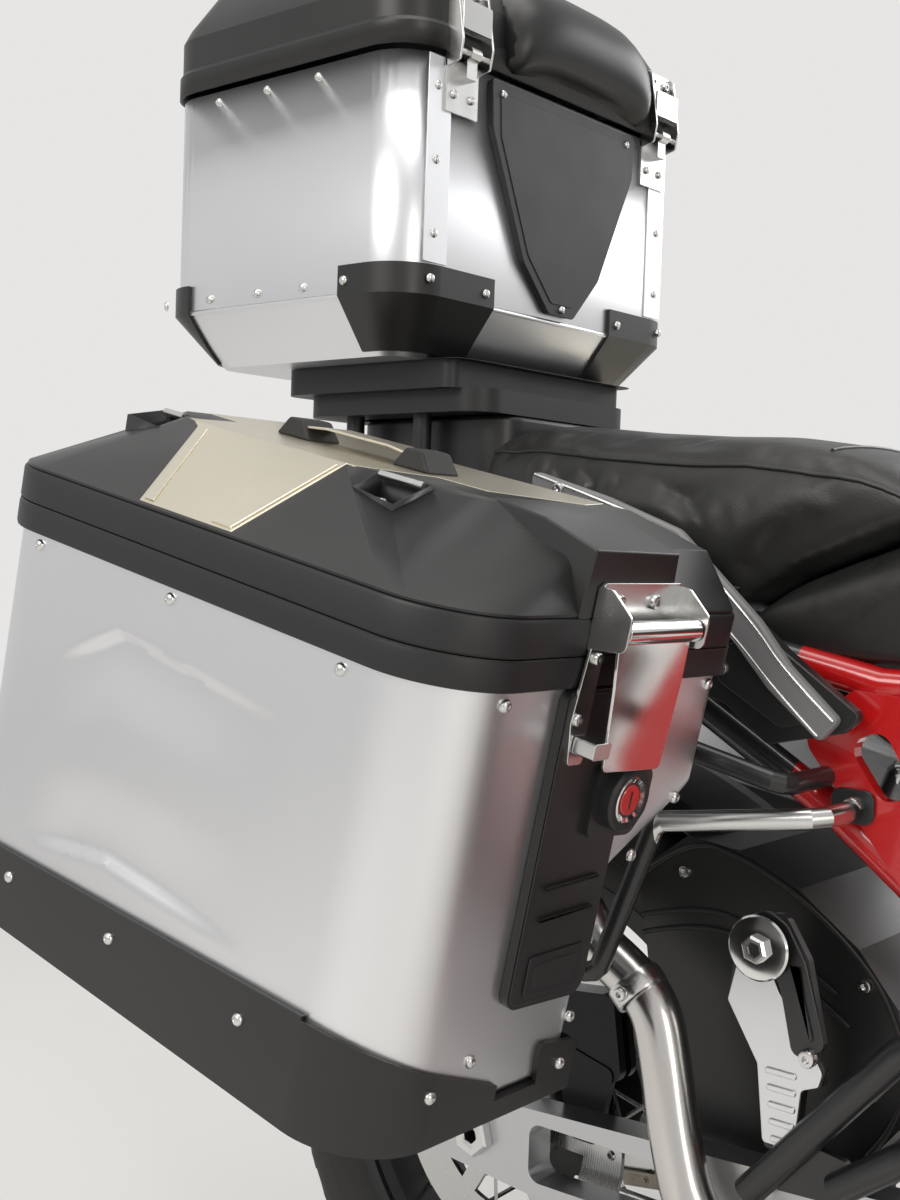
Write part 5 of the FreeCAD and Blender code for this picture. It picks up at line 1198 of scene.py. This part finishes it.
for side, hand in SIDES:
    bush_at, out = at(289, side * 150, 594), (0, side, 0)
    for k, line in enumerate(GROOVES):
        tube("hugger_groove_%s_%d" % (hand, k + 1), [at(x, side * 82.2, z) for x, z in line], 2.2,
             matte_black)
    tube("hugger_lip_" + hand, [at(x, side * 81.8, z) for x, z in HUGGER_LIP], 2.6, black_plastic)
    screws("hugger_bolts_" + hand, [at(x, side * 82, z) for x, z in ((352, 476), (176, 622), (342, 560))],
           out, 1.1)
    turned("bush_rubber_" + hand, [(6, -6), (17, -6), (19, 0), (20, 6), (17, 9), (6, 9)], bush_at, out,
           rubber_black)
    turned("bush_washer_" + hand, [(5, 9), (24, 9), (25.5, 11), (24, 12.5), (12, 13), (5, 12.5)], bush_at,
           out, bright_steel)
    turned("bush_collar_" + hand, [(3, 12), (11, 12), (11, 18), (9, 20), (6.5, 20), (5, 16), (3, 16)],
           bush_at, out, steel, 6)
    slab("strap_face_" + hand, STRAP_FACE, 149.4, 152.0, beside(side), peg_black, 1.6)
    slab("strap_press_" + hand, [(312, 584, 6), (318, 584, 6), (334, 530, 5), (322, 524, 5)], 151.8, 153.6,
         beside(side), peg_black, 1.4)
    slab("hanger_plate_" + hand, HANGER, 143.9, 146.0, beside(side), aluminium, 0.9)
    for k in range(5):
        slab("plate_rib_%s_%d" % (hand, k + 1), rectangle(292 + 1.6 * k, 500 - 13 * k, 318, 495 - 13 * k,
                                                          2), 145.6, 147.6,
             beside(side), aluminium, 1.0)
    screws("hanger_bolts_" + hand, [at(x, side * y, z) for x, z, y in ((330, 517, 152), (640, 630, 148),
                                                                       (652, 470, 148))],
           out, 1.4)
    for k, x in enumerate((628, 640, 652, 664, 672)):
        slab("peg_tooth_%s_%d" % (hand, k + 1), [(x - 3, 410, 1), (x + 3, 410, 1), (x + 2, 417, 1),
                                                 (x - 2, 417, 1)],
             168, 246, beside(side), steel, 0.6)
    turned("peg_rubber_" + hand, [(14.0, -40), (17, -40), (18, -36), (18, 36), (17, 40), (14.0, 40)],
           at(650, side * 206, 400), out, rubber_black, 24)
    for k, (x, z) in enumerate(((-120, 834), (120, 778))):
        turned("carrier_puck_%s_%d" % (hand, k + 1), [(8, -10), (16.5, -10), (18, -8), (18, 9), (16.5, 11),
                                                      (8, 11)],
               at(x, side * 219, z), out, rubber_black, 28)
    slab("brace_end_" + hand, rectangle(332, 722, 366, 696, 8), 134, 138, beside(side), peg_black)
    screws("brace_bolts_" + hand, [at(350, side * 138, 709)], out, 1.5)

# Crash bars, skid plate and stands: black coated tube with clamps, and folded aluminium sheet.
# The carriers' low front bars are bare steel; the rest of them is black.
BARE_AHEAD, BARE_BELOW, BARE_BEYOND = 232, 0.717, 0.15
coated = Finish("black_coated_tube", (0.012, 0.012, 0.013), 0.36, 0.0, Coat_Weight=0.35,
                Coat_Roughness=0.25)
coated.grained(500, 3, 0.1, 0.0003)
dress(coated, "crash_bars", "centre_stand", "side_stand")
carrier_metal = Finish("carrier_metal", (0.012, 0.012, 0.013), 0.34, 0.0, Coat_Weight=0.3)
ahead_x, wide_y, high_z = carrier_metal.axes()
plain_bar = (ahead_x > at(BARE_AHEAD, 0, 0).x) * (high_z < BARE_BELOW) * (wide_y.size() > BARE_BEYOND)
carrier_metal.drive("Base Color", carrier_metal.mix(plain_bar, (0.012, 0.012, 0.013), (0.66, 0.66, 0.65)))
carrier_metal.drive("Metallic", plain_bar * 1.0)
carrier_metal.drive("Roughness", carrier_metal.cloud(30, 3) * 0.1 + (0.32 - plain_bar * 0.14))
dress(carrier_metal, "case_carriers")
dress(aluminium, "skid_plate")
screws("skid_bolts", [at(x, y, 176) for x in (780, 858, 1038) for y in (-122, 122)], (0, 0, -1), 1.4)
for k, y in enumerate((-72, -24, 24, 72)):
    slab("skid_bead_%d" % (k + 1), rectangle(770, y - 6, 1085, y + 6, 5), 173.6, 176.4, at, aluminium, 1.2)
for side, hand in SIDES:
    for k, (x, z, lean) in enumerate(((1110, 300, 0), (880, 278, -0.3))):
        turned("bar_clamp_%s_%d" % (hand, k + 1), [(12, -12), (16, -12), (17, -10), (17, 10), (16, 12),
                                                   (12, 12)],
               at(x, side * 172, z), (0, side, lean), matte_black, 24)

# Tail lamp and plate holder: a red ribbed lens over its housing, amber indicators and a blank plate.
# All of them are screwed to the folded holder behind the tail.


def leaning(start, low, slope):
    """Places for a slab that leans by a slope from a low line: up, to the left, and forward."""
    return lambda z, y, x: at(start + (z - low) * slope + x, y, z)


red_lens = Finish("red_lens", (0.45, 0.01, 0.012), 0.12, 0.0, Coat_Weight=0.8)
red_lens.relief((red_lens.axes()[1] * 700.0).wave() * 0.5 + 0.5, 0.3, 0.0008)
amber_lens = Finish("amber_lens", (0.85, 0.26, 0.02), 0.14, 0.0, Coat_Weight=0.8)
blank_white = Finish("blank_plate", (0.72, 0.72, 0.7), 0.4).patchy(20, 3, 0.1, 0.36)
dress(black_plastic, "plate_holder", "tail_lamp")
slab("tail_lens", [(952, -68, 10), (952, 68, 10), (986, 64, 12), (986, -64, 12)], -299.5, -293.5,
     leaning(0, 952, -0.14), red_lens, 2.2)
slab("blank_plate", [(722, -56, 6), (722, 56, 6), (868, 56, 6), (868, -56, 6)], -352.5, -350.5,
     leaning(0, 716, 0.355), blank_white, 0.4)
for side, hand in SIDES:
    tube("indicator_stalk_" + hand, [at(-282, side * 50, 925), at(-286, side * 90, 925),
                                     at(-288, side * 112, 925)], 5.5,
         rubber_black)
    turned("indicator_rear_" + hand, [(0.5, -13), (11, -12), (15, -6), (16, 2), (15, 8), (0.5, 8)],
           at(-292, side * 126, 925), (1, 0, 0), black_plastic, 28)
    turned("indicator_rear_lens_" + hand, [(0.5, -16), (9, -15), (13.5, -12), (14.5, -8), (0.5, -8)],
           at(-292, side * 126, 925), (1, 0, 0), amber_lens, 28)

# Wheels: black rims laced with steel spokes, drilled steel discs, and tyres with blocks of tread.
# Each tyre is one rubber body; its blocks stand in rows, and the shoulder rows lean outwards.
tyre_rubber = Finish("tyre_rubber", (0.016, 0.016, 0.0165), 0.72)
tyre_rubber.shaded(14, 5, (0.013, 0.013, 0.0135), (0.024, 0.0235, 0.023)).patchy(60, 4, 0.16, 0.62)
tyre_rubber.grained(500, 4, 0.2, 0.0004)
REAR, FRONT = at(0, 0, 360), at(1575, 0, 345)
HUB_REACH = 0.074


def from_axle(finish, centre):
    """Distance from an axle, as a value in a material."""
    x, y, z = finish.axes()
    return ((x - centre.x) ** 2 + (z - centre.z) ** 2) ** 0.5


def laced(name, centre, bead):
    """Black at the rim and the hub, and bright on the spokes, by the distance from the axle."""
    made = Finish(name, (0.6, 0.6, 0.6), 0.3, 1.0)
    reach = from_axle(made, centre)
    dark = (reach > (bead - 16.5) / 1000).most(reach < HUB_REACH)
    made.drive("Base Color", made.mix(dark, (0.66, 0.66, 0.65), (0.014, 0.014, 0.015)))
    made.drive("Metallic", 1.0 - dark * 0.75)
    return made.drive("Roughness", made.cloud(30, 3) * 0.1 + (dark * 0.08 + 0.2))


def brushed_disc(name, centre):
    """Ground steel with fine rings about the axle."""
    made = Finish(name, (0.55, 0.55, 0.54), 0.25, 1.0)
    rings = (from_axle(made, centre) * 2600.0).wave() * 0.5 + 0.5
    made.drive("Roughness", rings * 0.1 + (made.cloud(12, 3) * 0.1 + 0.16))
    return made.relief(rings, 0.12, 0.0002)


def around_axle(angle):
    """A direction from an axle at an angle, in the plane of its wheel."""
    return Vector((math.cos(angle), 0, math.sin(angle)))


# Each wheel: axle, bead radius, tyre radius, half width, bead seat, tread pitches, and the spokes' offset.
WHEELS = (("rear", REAR, 229, 330, 75, 53.7, 44, 8), ("front", FRONT, 267, 345, 46, 27.7, 50, 6))
# Each row of tread: share of the half width, shift along the tyre, width, length.
TREAD = ((-0.19, 0.0, 0.150, 0.34), (0.19, 0.5, 0.150, 0.34), (-0.56, 0.25, 0.145, 0.3),
         (0.56, 0.75, 0.145, 0.3),
         (-0.84, 0.0, 0.08, 0.32), (0.84, 0.5, 0.08, 0.32))
SPOKES, TREAD_SKEW = 32, 0.35
block_head = head_shape("tread_block", [(1.0, -3.0), (1.0, 3.6), (0.9, 4.6)], 4)
dress(brushed_disc("rear_disc_steel", REAR), "rear_disc")
dress(brushed_disc("front_disc_steel", FRONT), "front_discs")
for label, centre, bead, outer, half, seat, count, tilt in WHEELS:
    body = label + "_wheel"
    dress(laced(label + "_wheel_metal", centre, bead), label + "_rim")
    rise = outer - bead
    left = [(bead + 0.3 - 2.6, seat), (bead + 6, seat), (bead + 12.3, seat + 6.6),
            (bead + 0.26 * rise, half * 0.965),
            (bead + 0.42 * rise, half * 0.99), (bead + 0.6 * rise, half * 0.985),
            (bead + 0.72 * rise, half * 0.93),
            (outer - 0.2 * half, half * 0.76), (outer - 0.115 * half - 3, half * 0.52),
            (outer - 0.03 * half - 5, half * 0.26), (outer - 5, 0)]
    profile = left + [(r, -y) for r, y in left[-2::-1]]
    carcass = turned(label + "_tyre_body", profile, centre, (0, 1, 0), tyre_rubber, 120, body, sharp=60)
    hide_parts(label + "_tyre")
    pitch = 2 * math.pi * outer / count
    spots = []
    for k in range(count):
        for share, shift, wide, long in TREAD:
            hand_y = math.copysign(1, share)
            if abs(share) < 0.4:
                radius, lean = outer - 5 - 0.02 * half, 0.1
            elif abs(share) < 0.7:
                radius, lean = outer - 0.125 * half - 3.6, 0.42
            else:
                radius, lean = outer - 0.36 * half, 0.95
            angle = 2 * math.pi * (k + shift) / count
            radial, tangent = around_axle(angle), Vector((-math.sin(angle), 0, math.cos(angle)))
            facing = radial * math.cos(lean) + Vector((0, hand_y, 0)) * math.sin(lean)
            skewed = tangent + facing.cross(tangent) * (TREAD_SKEW * hand_y)
            place = centre + radial * (radius / 1000) + Vector((0, share * half / 1000, 0))
            spots.append((place, facing, (long * pitch, wide * half * 1.35, 1.0), skewed))
    heads(label + "_tread", block_head, spots, tyre_rubber, body)
    rib = [(bead + 0.40 * rise, half * 0.975), (bead + 0.45 * rise, half * 0.996),
           (bead + 0.5 * rise, half * 0.975)]
    for side, hand in SIDES:
        turned("%s_sidewall_rib_%s" % (label, hand), rib, centre, (0, side, 0), tyre_rubber, 96, body)
    nipples = []
    for i in range(SPOKES):
        side, lean = (1 if i % 2 else -1), (1 if (i // 2) % 2 else -1)
        radial = around_axle(math.radians(11.25 * i + lean * 4))
        nipples.append((centre + radial * ((bead - 15.5) / 1000) + Vector((0, side * tilt / 1000, 0)),
                        -radial))
    heads(label + "_nipples", head_shape(label + "_nipple", [(2.6, -4), (3.4, -2), (3.0, 3), (1.6, 4)], 8),
          nipples,
          bright_steel, body)
carrier_ring = [around_axle(math.radians(60 * k + 30)) * 0.04 for k in range(6)]
heads("disc_bolts_front", socket_screw, [(FRONT + spot + Vector((0, side * 0.0704, 0)), (0, side, 0),
                                          (1.1, 1.1, 0.5))
                                         for spot in carrier_ring for side in (-1, 1)],
                                         steel, "front_wheel")
screws("disc_bolts_rear", [REAR + spot + Vector((0, -0.0915, 0)) for spot in carrier_ring], (0, -1, 0), 1.2,
       "rear_wheel")

# Final drive: a steel chain of side plates and pins over its band, on toothed sprockets.
# The swinging arm is satin aluminium, and a nut and an adjuster end its axle.
chain_steel = Finish("oiled_chain", (0.3, 0.27, 0.22), 0.34, 1.0)
chain_steel.shaded(50, 4, (0.22, 0.2, 0.165), (0.4, 0.37, 0.31)).patchy(90, 4, 0.2, 0.26)
dress(chain_steel, "drive_chain")
dress(steel, "rear_sprocket")
CHAIN_PITCH, CHAIN_Y, REAR_TEETH, FRONT_TEETH = 15.875, 92.5, 42, 16


def link_shape():
    """One chain link's pair of waisted side plates, with the ends of its pin."""
    points, faces = [], []
    plate = [(-7.9 + 4.4 * math.cos(a), 4.4 * math.sin(a))
             for a in [math.pi * (0.5 + k / 6) for k in range(7)]]
    plate = plate + [(0, -3.4)] + [(-x, -y) for x, y in plate] + [(0, 3.4)]
    pin = [(7.9 + 2.4 * math.cos(math.pi * k / 3), 2.4 * math.sin(math.pi * k / 3)) for k in range(6)]
    for outline, low, high in ((plate, -9.6, -8.2), (plate, 8.2, 9.6), (pin, -11, -8), (pin, 8, 11)):
        base, count = len(points), len(outline)
        points += [(x / 1000, y / 1000, z / 1000) for z in (low, high) for x, y in outline]
        faces += [tuple(base + i for i in face) for face in ends(2, count) + between(2, count)]
    mesh = bpy.data.meshes.new("chain_link")
    mesh.from_pydata(points, [], faces)
    return bpy.data.objects.new("chain_link", cleaned(mesh))


def chain_line(rear, front, rear_r, front_r):
    """The chain's closed line of points in the plane of the sprockets, in millimetres."""
    gap = Vector((front[0] - rear[0], front[1] - rear[1]))
    slope, lean = math.atan2(gap.y, gap.x), math.asin((rear_r - front_r) / gap.length)
    up, down = slope + math.pi / 2 - lean, slope - math.pi / 2 + lean
    line = []
    for k in range(41):
        angle = up + (2 * math.pi - (up - down)) * k / 40
        line.append(Vector((rear[0] + rear_r * math.cos(angle), rear[1] + rear_r * math.sin(angle))))
    for k in range(21):
        angle = down + (up - down) * k / 20
        line.append(Vector((front[0] + front_r * math.cos(angle), front[1] + front_r * math.sin(angle))))
    return line + [line[0]]


loop = chain_line((0, 360), (655, 406), *(CHAIN_PITCH / (2 * math.sin(math.pi / n))
                                          for n in (REAR_TEETH, FRONT_TEETH)))
lengths = [0.0]
for a, b in zip(loop, loop[1:]):
    lengths.append(lengths[-1] + (b - a).length)
links = round(lengths[-1] / CHAIN_PITCH)
link_spots = []
for k in range(links):
    goal, j = lengths[-1] * (k + 0.5) / links, 0
    while lengths[j + 1] < goal:
        j += 1
    spot = loop[j].lerp(loop[j + 1], (goal - lengths[j]) / (lengths[j + 1] - lengths[j]))
    way = (loop[j + 1] - loop[j]).normalized()
    link_spots.append((at(spot.x, CHAIN_Y, spot.y), (0, 1, 0), (1, 1, 1 if k % 2 else 0.9),
                       (way.x, 0, way.y)))
heads("chain_links", link_shape(), link_spots, chain_steel)
swing_metal = Finish("satin_swingarm", (0.55, 0.555, 0.57), 0.32, 1.0)
swing_metal.patchy(9, 4, 0.12, 0.27).grained(500, 3, 0.08, 0.0002)
dress(swing_metal, "swingarm")
dress(steel, "axle_tubes", "front_axle")
for side, hand in SIDES:
    turned("rear_axle_nut_" + hand, [(8, 0), (20, 0), (20, 9), (18, 11), (13, 11), (8, 9)],
           at(0, side * 136.3, 360),
           (0, side, 0), steel, 6)
    turned("pivot_cap_" + hand, [(8, 0), (21, 0), (21, 6), (17, 9), (8, 8)], at(560, side * 136.4, 400),
           (0, side, 0),
           matte_black, 28)
    slab("adjuster_" + hand, [(-58, 348, 4), (-58, 372, 4), (-30, 372, 4), (-30, 348, 4)], 135.6, 141,
         beside(side),
         steel, 1.2)
slab("chain_guard", [(80, 482, 8), (470, 470, 12), (560, 454, 8), (560, 446, 4), (470, 460, 8),
                     (80, 470, 4)], 78, 106,
     beside(1), black_plastic, 1.0)

# Fork and controls: black anodised outer tubes over bright sliders, held by two bolted clamps.
# The bar carries ribbed grips, switch boxes, levers, fluid pots, hand guards and mirrors.
RAKE = math.radians(27.5)
WHEEL_RADIUS, TRAIL, FORK_SPACING = 345, 113, 103
FORK_OFFSET = WHEEL_RADIUS * math.sin(RAKE) - TRAIL * math.cos(RAKE)
STEM_UP = Vector((-math.sin(RAKE), 0, math.cos(RAKE)))
STEM_AHEAD = Vector((math.cos(RAKE), 0, math.sin(RAKE)))
STEM = FRONT - STEM_AHEAD * FORK_OFFSET / 1000


def on_stem(along, forward, side):
    """A place in the steering's own axes, in millimetres."""
    return STEM + STEM_UP * along / 1000 + STEM_AHEAD * forward / 1000 + Vector((0, side / 1000, 0))


fork_black = Finish("anodised_black", (0.02, 0.02, 0.022), 0.28, 0.8).patchy(20, 4, 0.1, 0.24)
bronze = Finish("bronze_anodised", (0.42, 0.27, 0.12), 0.3, 1.0).patchy(24, 4, 0.1, 0.25)
dress(fork_black, "fork_outers", "fork_clamps", "handlebar", "rear_caliper")
dress(cover_grey, "fork_sliders")
dress(matte_black, "front_stay")
dress(rubber_black, "grips")
dress(bronze, "front_calipers")
# Turned pieces along each fork leg: height on the stem, profile, finish.
FORK_RINGS = (("slider_tube", 0, [(18, 62), (22.2, 62), (22.2, 388), (18, 388)], bright_steel),
              ("fork_seal", 318, [(23, 0), (29.5, 0), (31, 3), (31, 12), (28, 16), (23, 16)], rubber_black),
              ("fork_cap", 775, [(0.5, 0), (26, 0), (26, 5), (22, 8), (15, 8), (15, 14), (12, 15),
                                 (0.5, 15)], bronze))
for side, hand in SIDES:
    y = side * FORK_SPACING
    for label, height, profile, finish in FORK_RINGS:
        turned("%s_%s" % (label, hand), profile, on_stem(height, FORK_OFFSET, y), STEM_UP, finish, 36,
               "steering")
    for z in (540, 739):
        screws("pinch_bolts_%s_%d" % (hand, z), [on_stem(z + dz, FORK_OFFSET - 16, side * 141)
                                                 for dz in (-7, 7)],
               (0, side, 0), 1.3, "steering")
    screws("axle_pinch_" + hand, [on_stem(z, FORK_OFFSET + 28, y) for z in (-18, -2)], STEM_AHEAD, 1.2,
           "steering")
    turned("front_axle_cap_" + hand, [(8, 0), (17, 0), (17, 4), (14, 7), (8, 7)], at(1575, side * 134, 345),
           (0, side, 0), steel, 6, "steering")
turned("stem_nut", [(0.5, 0), (21, 0), (21, 7), (18, 10), (8, 10), (7, 5), (0.5, 5)], on_stem(754, 0, 0),
       STEM_UP,
       steel, 30, "steering")

GRIP = on_stem(878.3, 20, 0)
LEVER_BENDS = ((0.035, 0.034, -0.002), (0.1, 0.062, -0.006), (0.19, 0.058, -0.004), (0.212, 0.062, -0.004))
HOSE_LINE = ((840, 20, 190), (775, 40, 150), (735, 98, 116), (520, 101, 110), (330, 90, 104), (240, 40, 80),
             (160, 23, 76))
FLUID_POT = [(0.5, -12), (17, -12), (18, -9), (18, 9), (19.5, 9), (19.5, 15), (17, 17), (0.5, 17)]
for side, hand in SIDES:
    end = GRIP + Vector((-0.092, side * 0.465, 0.012))
    bend = GRIP + Vector((-0.034, side * 0.25, 0.046))
    along = (bend - end).normalized()
    for k in range(9):
        turned("grip_rib_%s_%d" % (hand, k + 1), [(16.4, -3), (17.6, -2), (17.6, 2), (16.4, 3)],
               end + along * (0.022 + 0.0125 * k), along, rubber_black, 24, "steering")
    turned("bar_weight_" + hand, [(0.5, -17), (13, -17), (15, -13), (15, 0), (0.5, 0)], end, along,
           fork_black, 28,
           "steering")
    turned("switch_box_" + hand, [(11.2, -17), (21, -17), (23, -14), (23, 14), (21, 17), (11.2, 17)],
           bend - along * 0.062, along, black_plastic, 20, "steering")
    perch = bend - along * 0.022
    turned("lever_perch_" + hand, [(11.2, -9), (18, -9), (18, 9), (11.2, 9)], perch, along, fork_black, 20,
           "steering")
    lever_line = [perch + Vector((0.014, 0, 0))] + [bend - along * a + Vector((x, 0, z)) for a, x,
                                                    z in LEVER_BENDS]
    tube("bar_lever_" + hand, lever_line, 4.6, fork_black, "steering")
    pot = bend - along * 0.018 + Vector((0.022, -side * 0.012, 0.026))
    turned("fluid_pot_" + hand, FLUID_POT, pot, (0.1, 0, 1), fork_black, 28, "steering")
    hose = [pot + Vector((0.018, 0, -0.006))] + [on_stem(z, x, side * y) for z, x, y in HOSE_LINE]
    tube("brake_hose_" + hand, hose, 3.2, rubber_black, "steering", order=4)
    screws("caliper_bolts_" + hand, [at(1575 + x, side * 86, 345 + z) for x, z in ((-64, 74), (-120, 138))],
           (0, side, 0), 1.4, "steering")
    screws("caliper_screws_" + hand, [at(1575 + x, side * 82, 345 + z) for x,
                                      z in ((-158, 88), (-146, 148))],
           (0, side, 0), 1.2, "steering")
screws("riser_bolts", [on_stem(891, 20 + dx, y) for y in (-45, 45) for dx in (-11, 11)], STEM_UP, 1.3,
       "steering")
for k, y in enumerate((-45, 45)):
    slab("bar_cap_%d" % (k + 1), rectangle(-17, y - 14, 17, y + 14, 4), 884, 892,
         lambda a, b, z: on_stem(z, 20 + a, b), fork_black, 2.0, "steering")

# Hand guards, mirrors, mudguard: black mouldings, with dark silvered glass facing the rider.
# The guards are screwed on in front of the grips.
mirror_glass = Finish("mirror_glass", (0.8, 0.8, 0.8), 0.03, 1.0).grained(2, 1, 0.01, 0.0001)
dress(black_plastic, "hand_guards", "front_mudguard")
softened("hand_guard_shells", "hand_guards", black_plastic, "steering", 2.4, 3)
softened("mirror_bodies", "mirrors", black_plastic, "steering", 3.0, 7)


def on_mirror(a, b, x):
    """Places on the mirrors' faces: to the left, up, and forward."""
    return Vector((GRIP.x - 0.034 + x / 1000, a / 1000, GRIP.z + 0.046 + b / 1000))


for side, hand in SIDES:
    slab("mirror_face_" + hand, [(side * 307, 158, 20), (side * 307, 219, 20), (side * 418, 226, 26),
                                 (side * 418, 167, 26)],
                                 -6.9, -5.4, on_mirror, mirror_glass, 0.6, "steering")
    screws("guard_bolts_" + hand, [Vector((GRIP.x + 0.0205, side * y, GRIP.z + z)) for y,
                                   z in ((0.44, 0.04), (0.3, 0.06))],
           (1, 0, 0), 1.2, "steering")

# Tank, shrouds and nose: painted mouldings with soft edges, a clear screen and two stacked lamps.
# They bolt to the frame and to the stay ahead of the steering head.
tank_paint = Finish("grey_metallic_paint", (0.11, 0.115, 0.125), 0.3, 0.35, Coat_Weight=0.8,
                    Coat_Roughness=0.06)
tank_paint.shaded(1800, 2, (0.085, 0.09, 0.1), (0.15, 0.155, 0.165)).grained(300, 2, 0.03, 0.0002)
softened("tank_skin", "fuel_tank", tank_paint, "chassis", 5.0, 26)
softened("shroud_skins", "shrouds", tank_paint, "chassis", 5.0, 22)
softened("nose_skin", "headlamp_nose", black_plastic, "chassis", 4.0, 18)
turned("tank_cap_ring", [(38, -6), (50, -6), (52, -2), (50, 3), (40, 4), (38, 2)], at(985, 0, 1047),
       (-0.04, 0, 1), steel)
turned("tank_cap", [(0.5, -4), (38, -4), (38, 4), (33, 6), (0.5, 7)], at(985, 0, 1047), (-0.04, 0, 1),
       matte_black)
cap_angles = [k * math.pi / 3 for k in range(6)]
screws("tank_cap_screws", [at(985 + 45 * math.cos(a), 45 * math.sin(a), 1050) for a in cap_angles],
       (0, 0, 1))
SHROUD_PANEL = [(1052, 744, 24), (1052, 880, 24), (1116, 934, 24), (1222, 872, 24), (1204, 708, 24)]
for side, hand in SIDES:
    slab("shroud_panel_" + hand, SHROUD_PANEL, 229.0, 233.2, beside(side), black_plastic, 2.4)
    screws("shroud_bolts_" + hand, [at(x, side * 233.4, z) for x,
                                    z in ((1066, 762), (1196, 728), (1112, 920))],
           (0, side, 0), 1.3)

# Lamps: two pairs of clear lenses over bright reflectors in the nose, and an indicator on each side.
# Each indicator stands on a short stalk, under an amber lens.
reflector = Finish("lamp_reflector", (0.9, 0.9, 0.9), 0.08, 1.0).patchy(60, 2, 0.08, 0.05)
clear_cover = Finish("clear_cover", (0.92, 0.94, 0.95), 0.02, 0.0, Alpha=0.22, Coat_Weight=1.0)
clear_cover.patchy(8, 2, 0.03, 0.02)
screen_clear = Finish("smoked_screen", (0.25, 0.27, 0.28), 0.04, 0.0, Alpha=0.42, Coat_Weight=1.0)
screen_clear.patchy(6, 3, 0.05, 0.03)
dress(screen_clear, "windscreen")
BOWL = [(0.5, -4), (18, 0), (27, 8), (31, 10), (33, 9), (33, 4), (29, -6), (0.5, -8)]
LENS = [(0.5, 13), (20, 12), (31, 9.5), (31, 8.5), (20, 11), (0.5, 12)]
LAMPS = ((1528, 947, 40, 1.0, Vector((0.743, 0, 0.669))), (1583, 878, 24, 0.6, Vector((0.878, 0, 0.479))))
for k, (x, z, y, scale, out) in enumerate(LAMPS):
    for side, hand in SIDES:
        for label, profile, finish in (("bowl", BOWL, reflector), ("lens", LENS, clear_cover)):
            turned("lamp_%s_%d_%s" % (label, k + 1, hand), [(r * scale, h) for r, h in profile],
                   at(x, side * y, z) - out * 0.006, out, finish, 32)
for side, hand in SIDES:
    tube("front_stalk_" + hand, [at(1262, side * 214, 700), at(1276, side * 236, 700),
                                 at(1278, side * 250, 700)], 6,
         rubber_black)
    turned("front_indicator_" + hand, [(0.5, -14), (11, -12), (15, -5), (16, 4), (0.5, 4)],
           at(1276, side * 258, 700),
           (1, 0, 0), black_plastic, 28)
    turned("front_indicator_lens_" + hand, [(0.5, 4), (15, 4), (13, 9), (8, 11), (0.5, 12)],
           at(1276, side * 258, 700),
           (1, 0, 0), amber_lens, 28)
    heads("screen_bolts_" + hand, socket_screw,
          [(at(1437 - k * 24, side * 96, 1062 + 70 * k), (0.94, 0, 0.34),
                                                  (1.5, 1.5, 1.0)) for k in range(2)], steel)

# Instrument: a dark glass face in a moulded frame, left blank.
# It leans back behind the screen.
dark_glass = Finish("dark_glass", (0.006, 0.007, 0.009), 0.06, 0.0, Coat_Weight=1.0)
dark_glass.patchy(5, 2, 0.04, 0.04)
dress(black_plastic, "display")
slab("display_glass", [(1082, -78, 8), (1082, 78, 8), (1168, 78, 8), (1168, -78, 8)], -1.4, 0.6,
     leaning(1285.5, 1075, -0.268), dark_glass, 0.4)
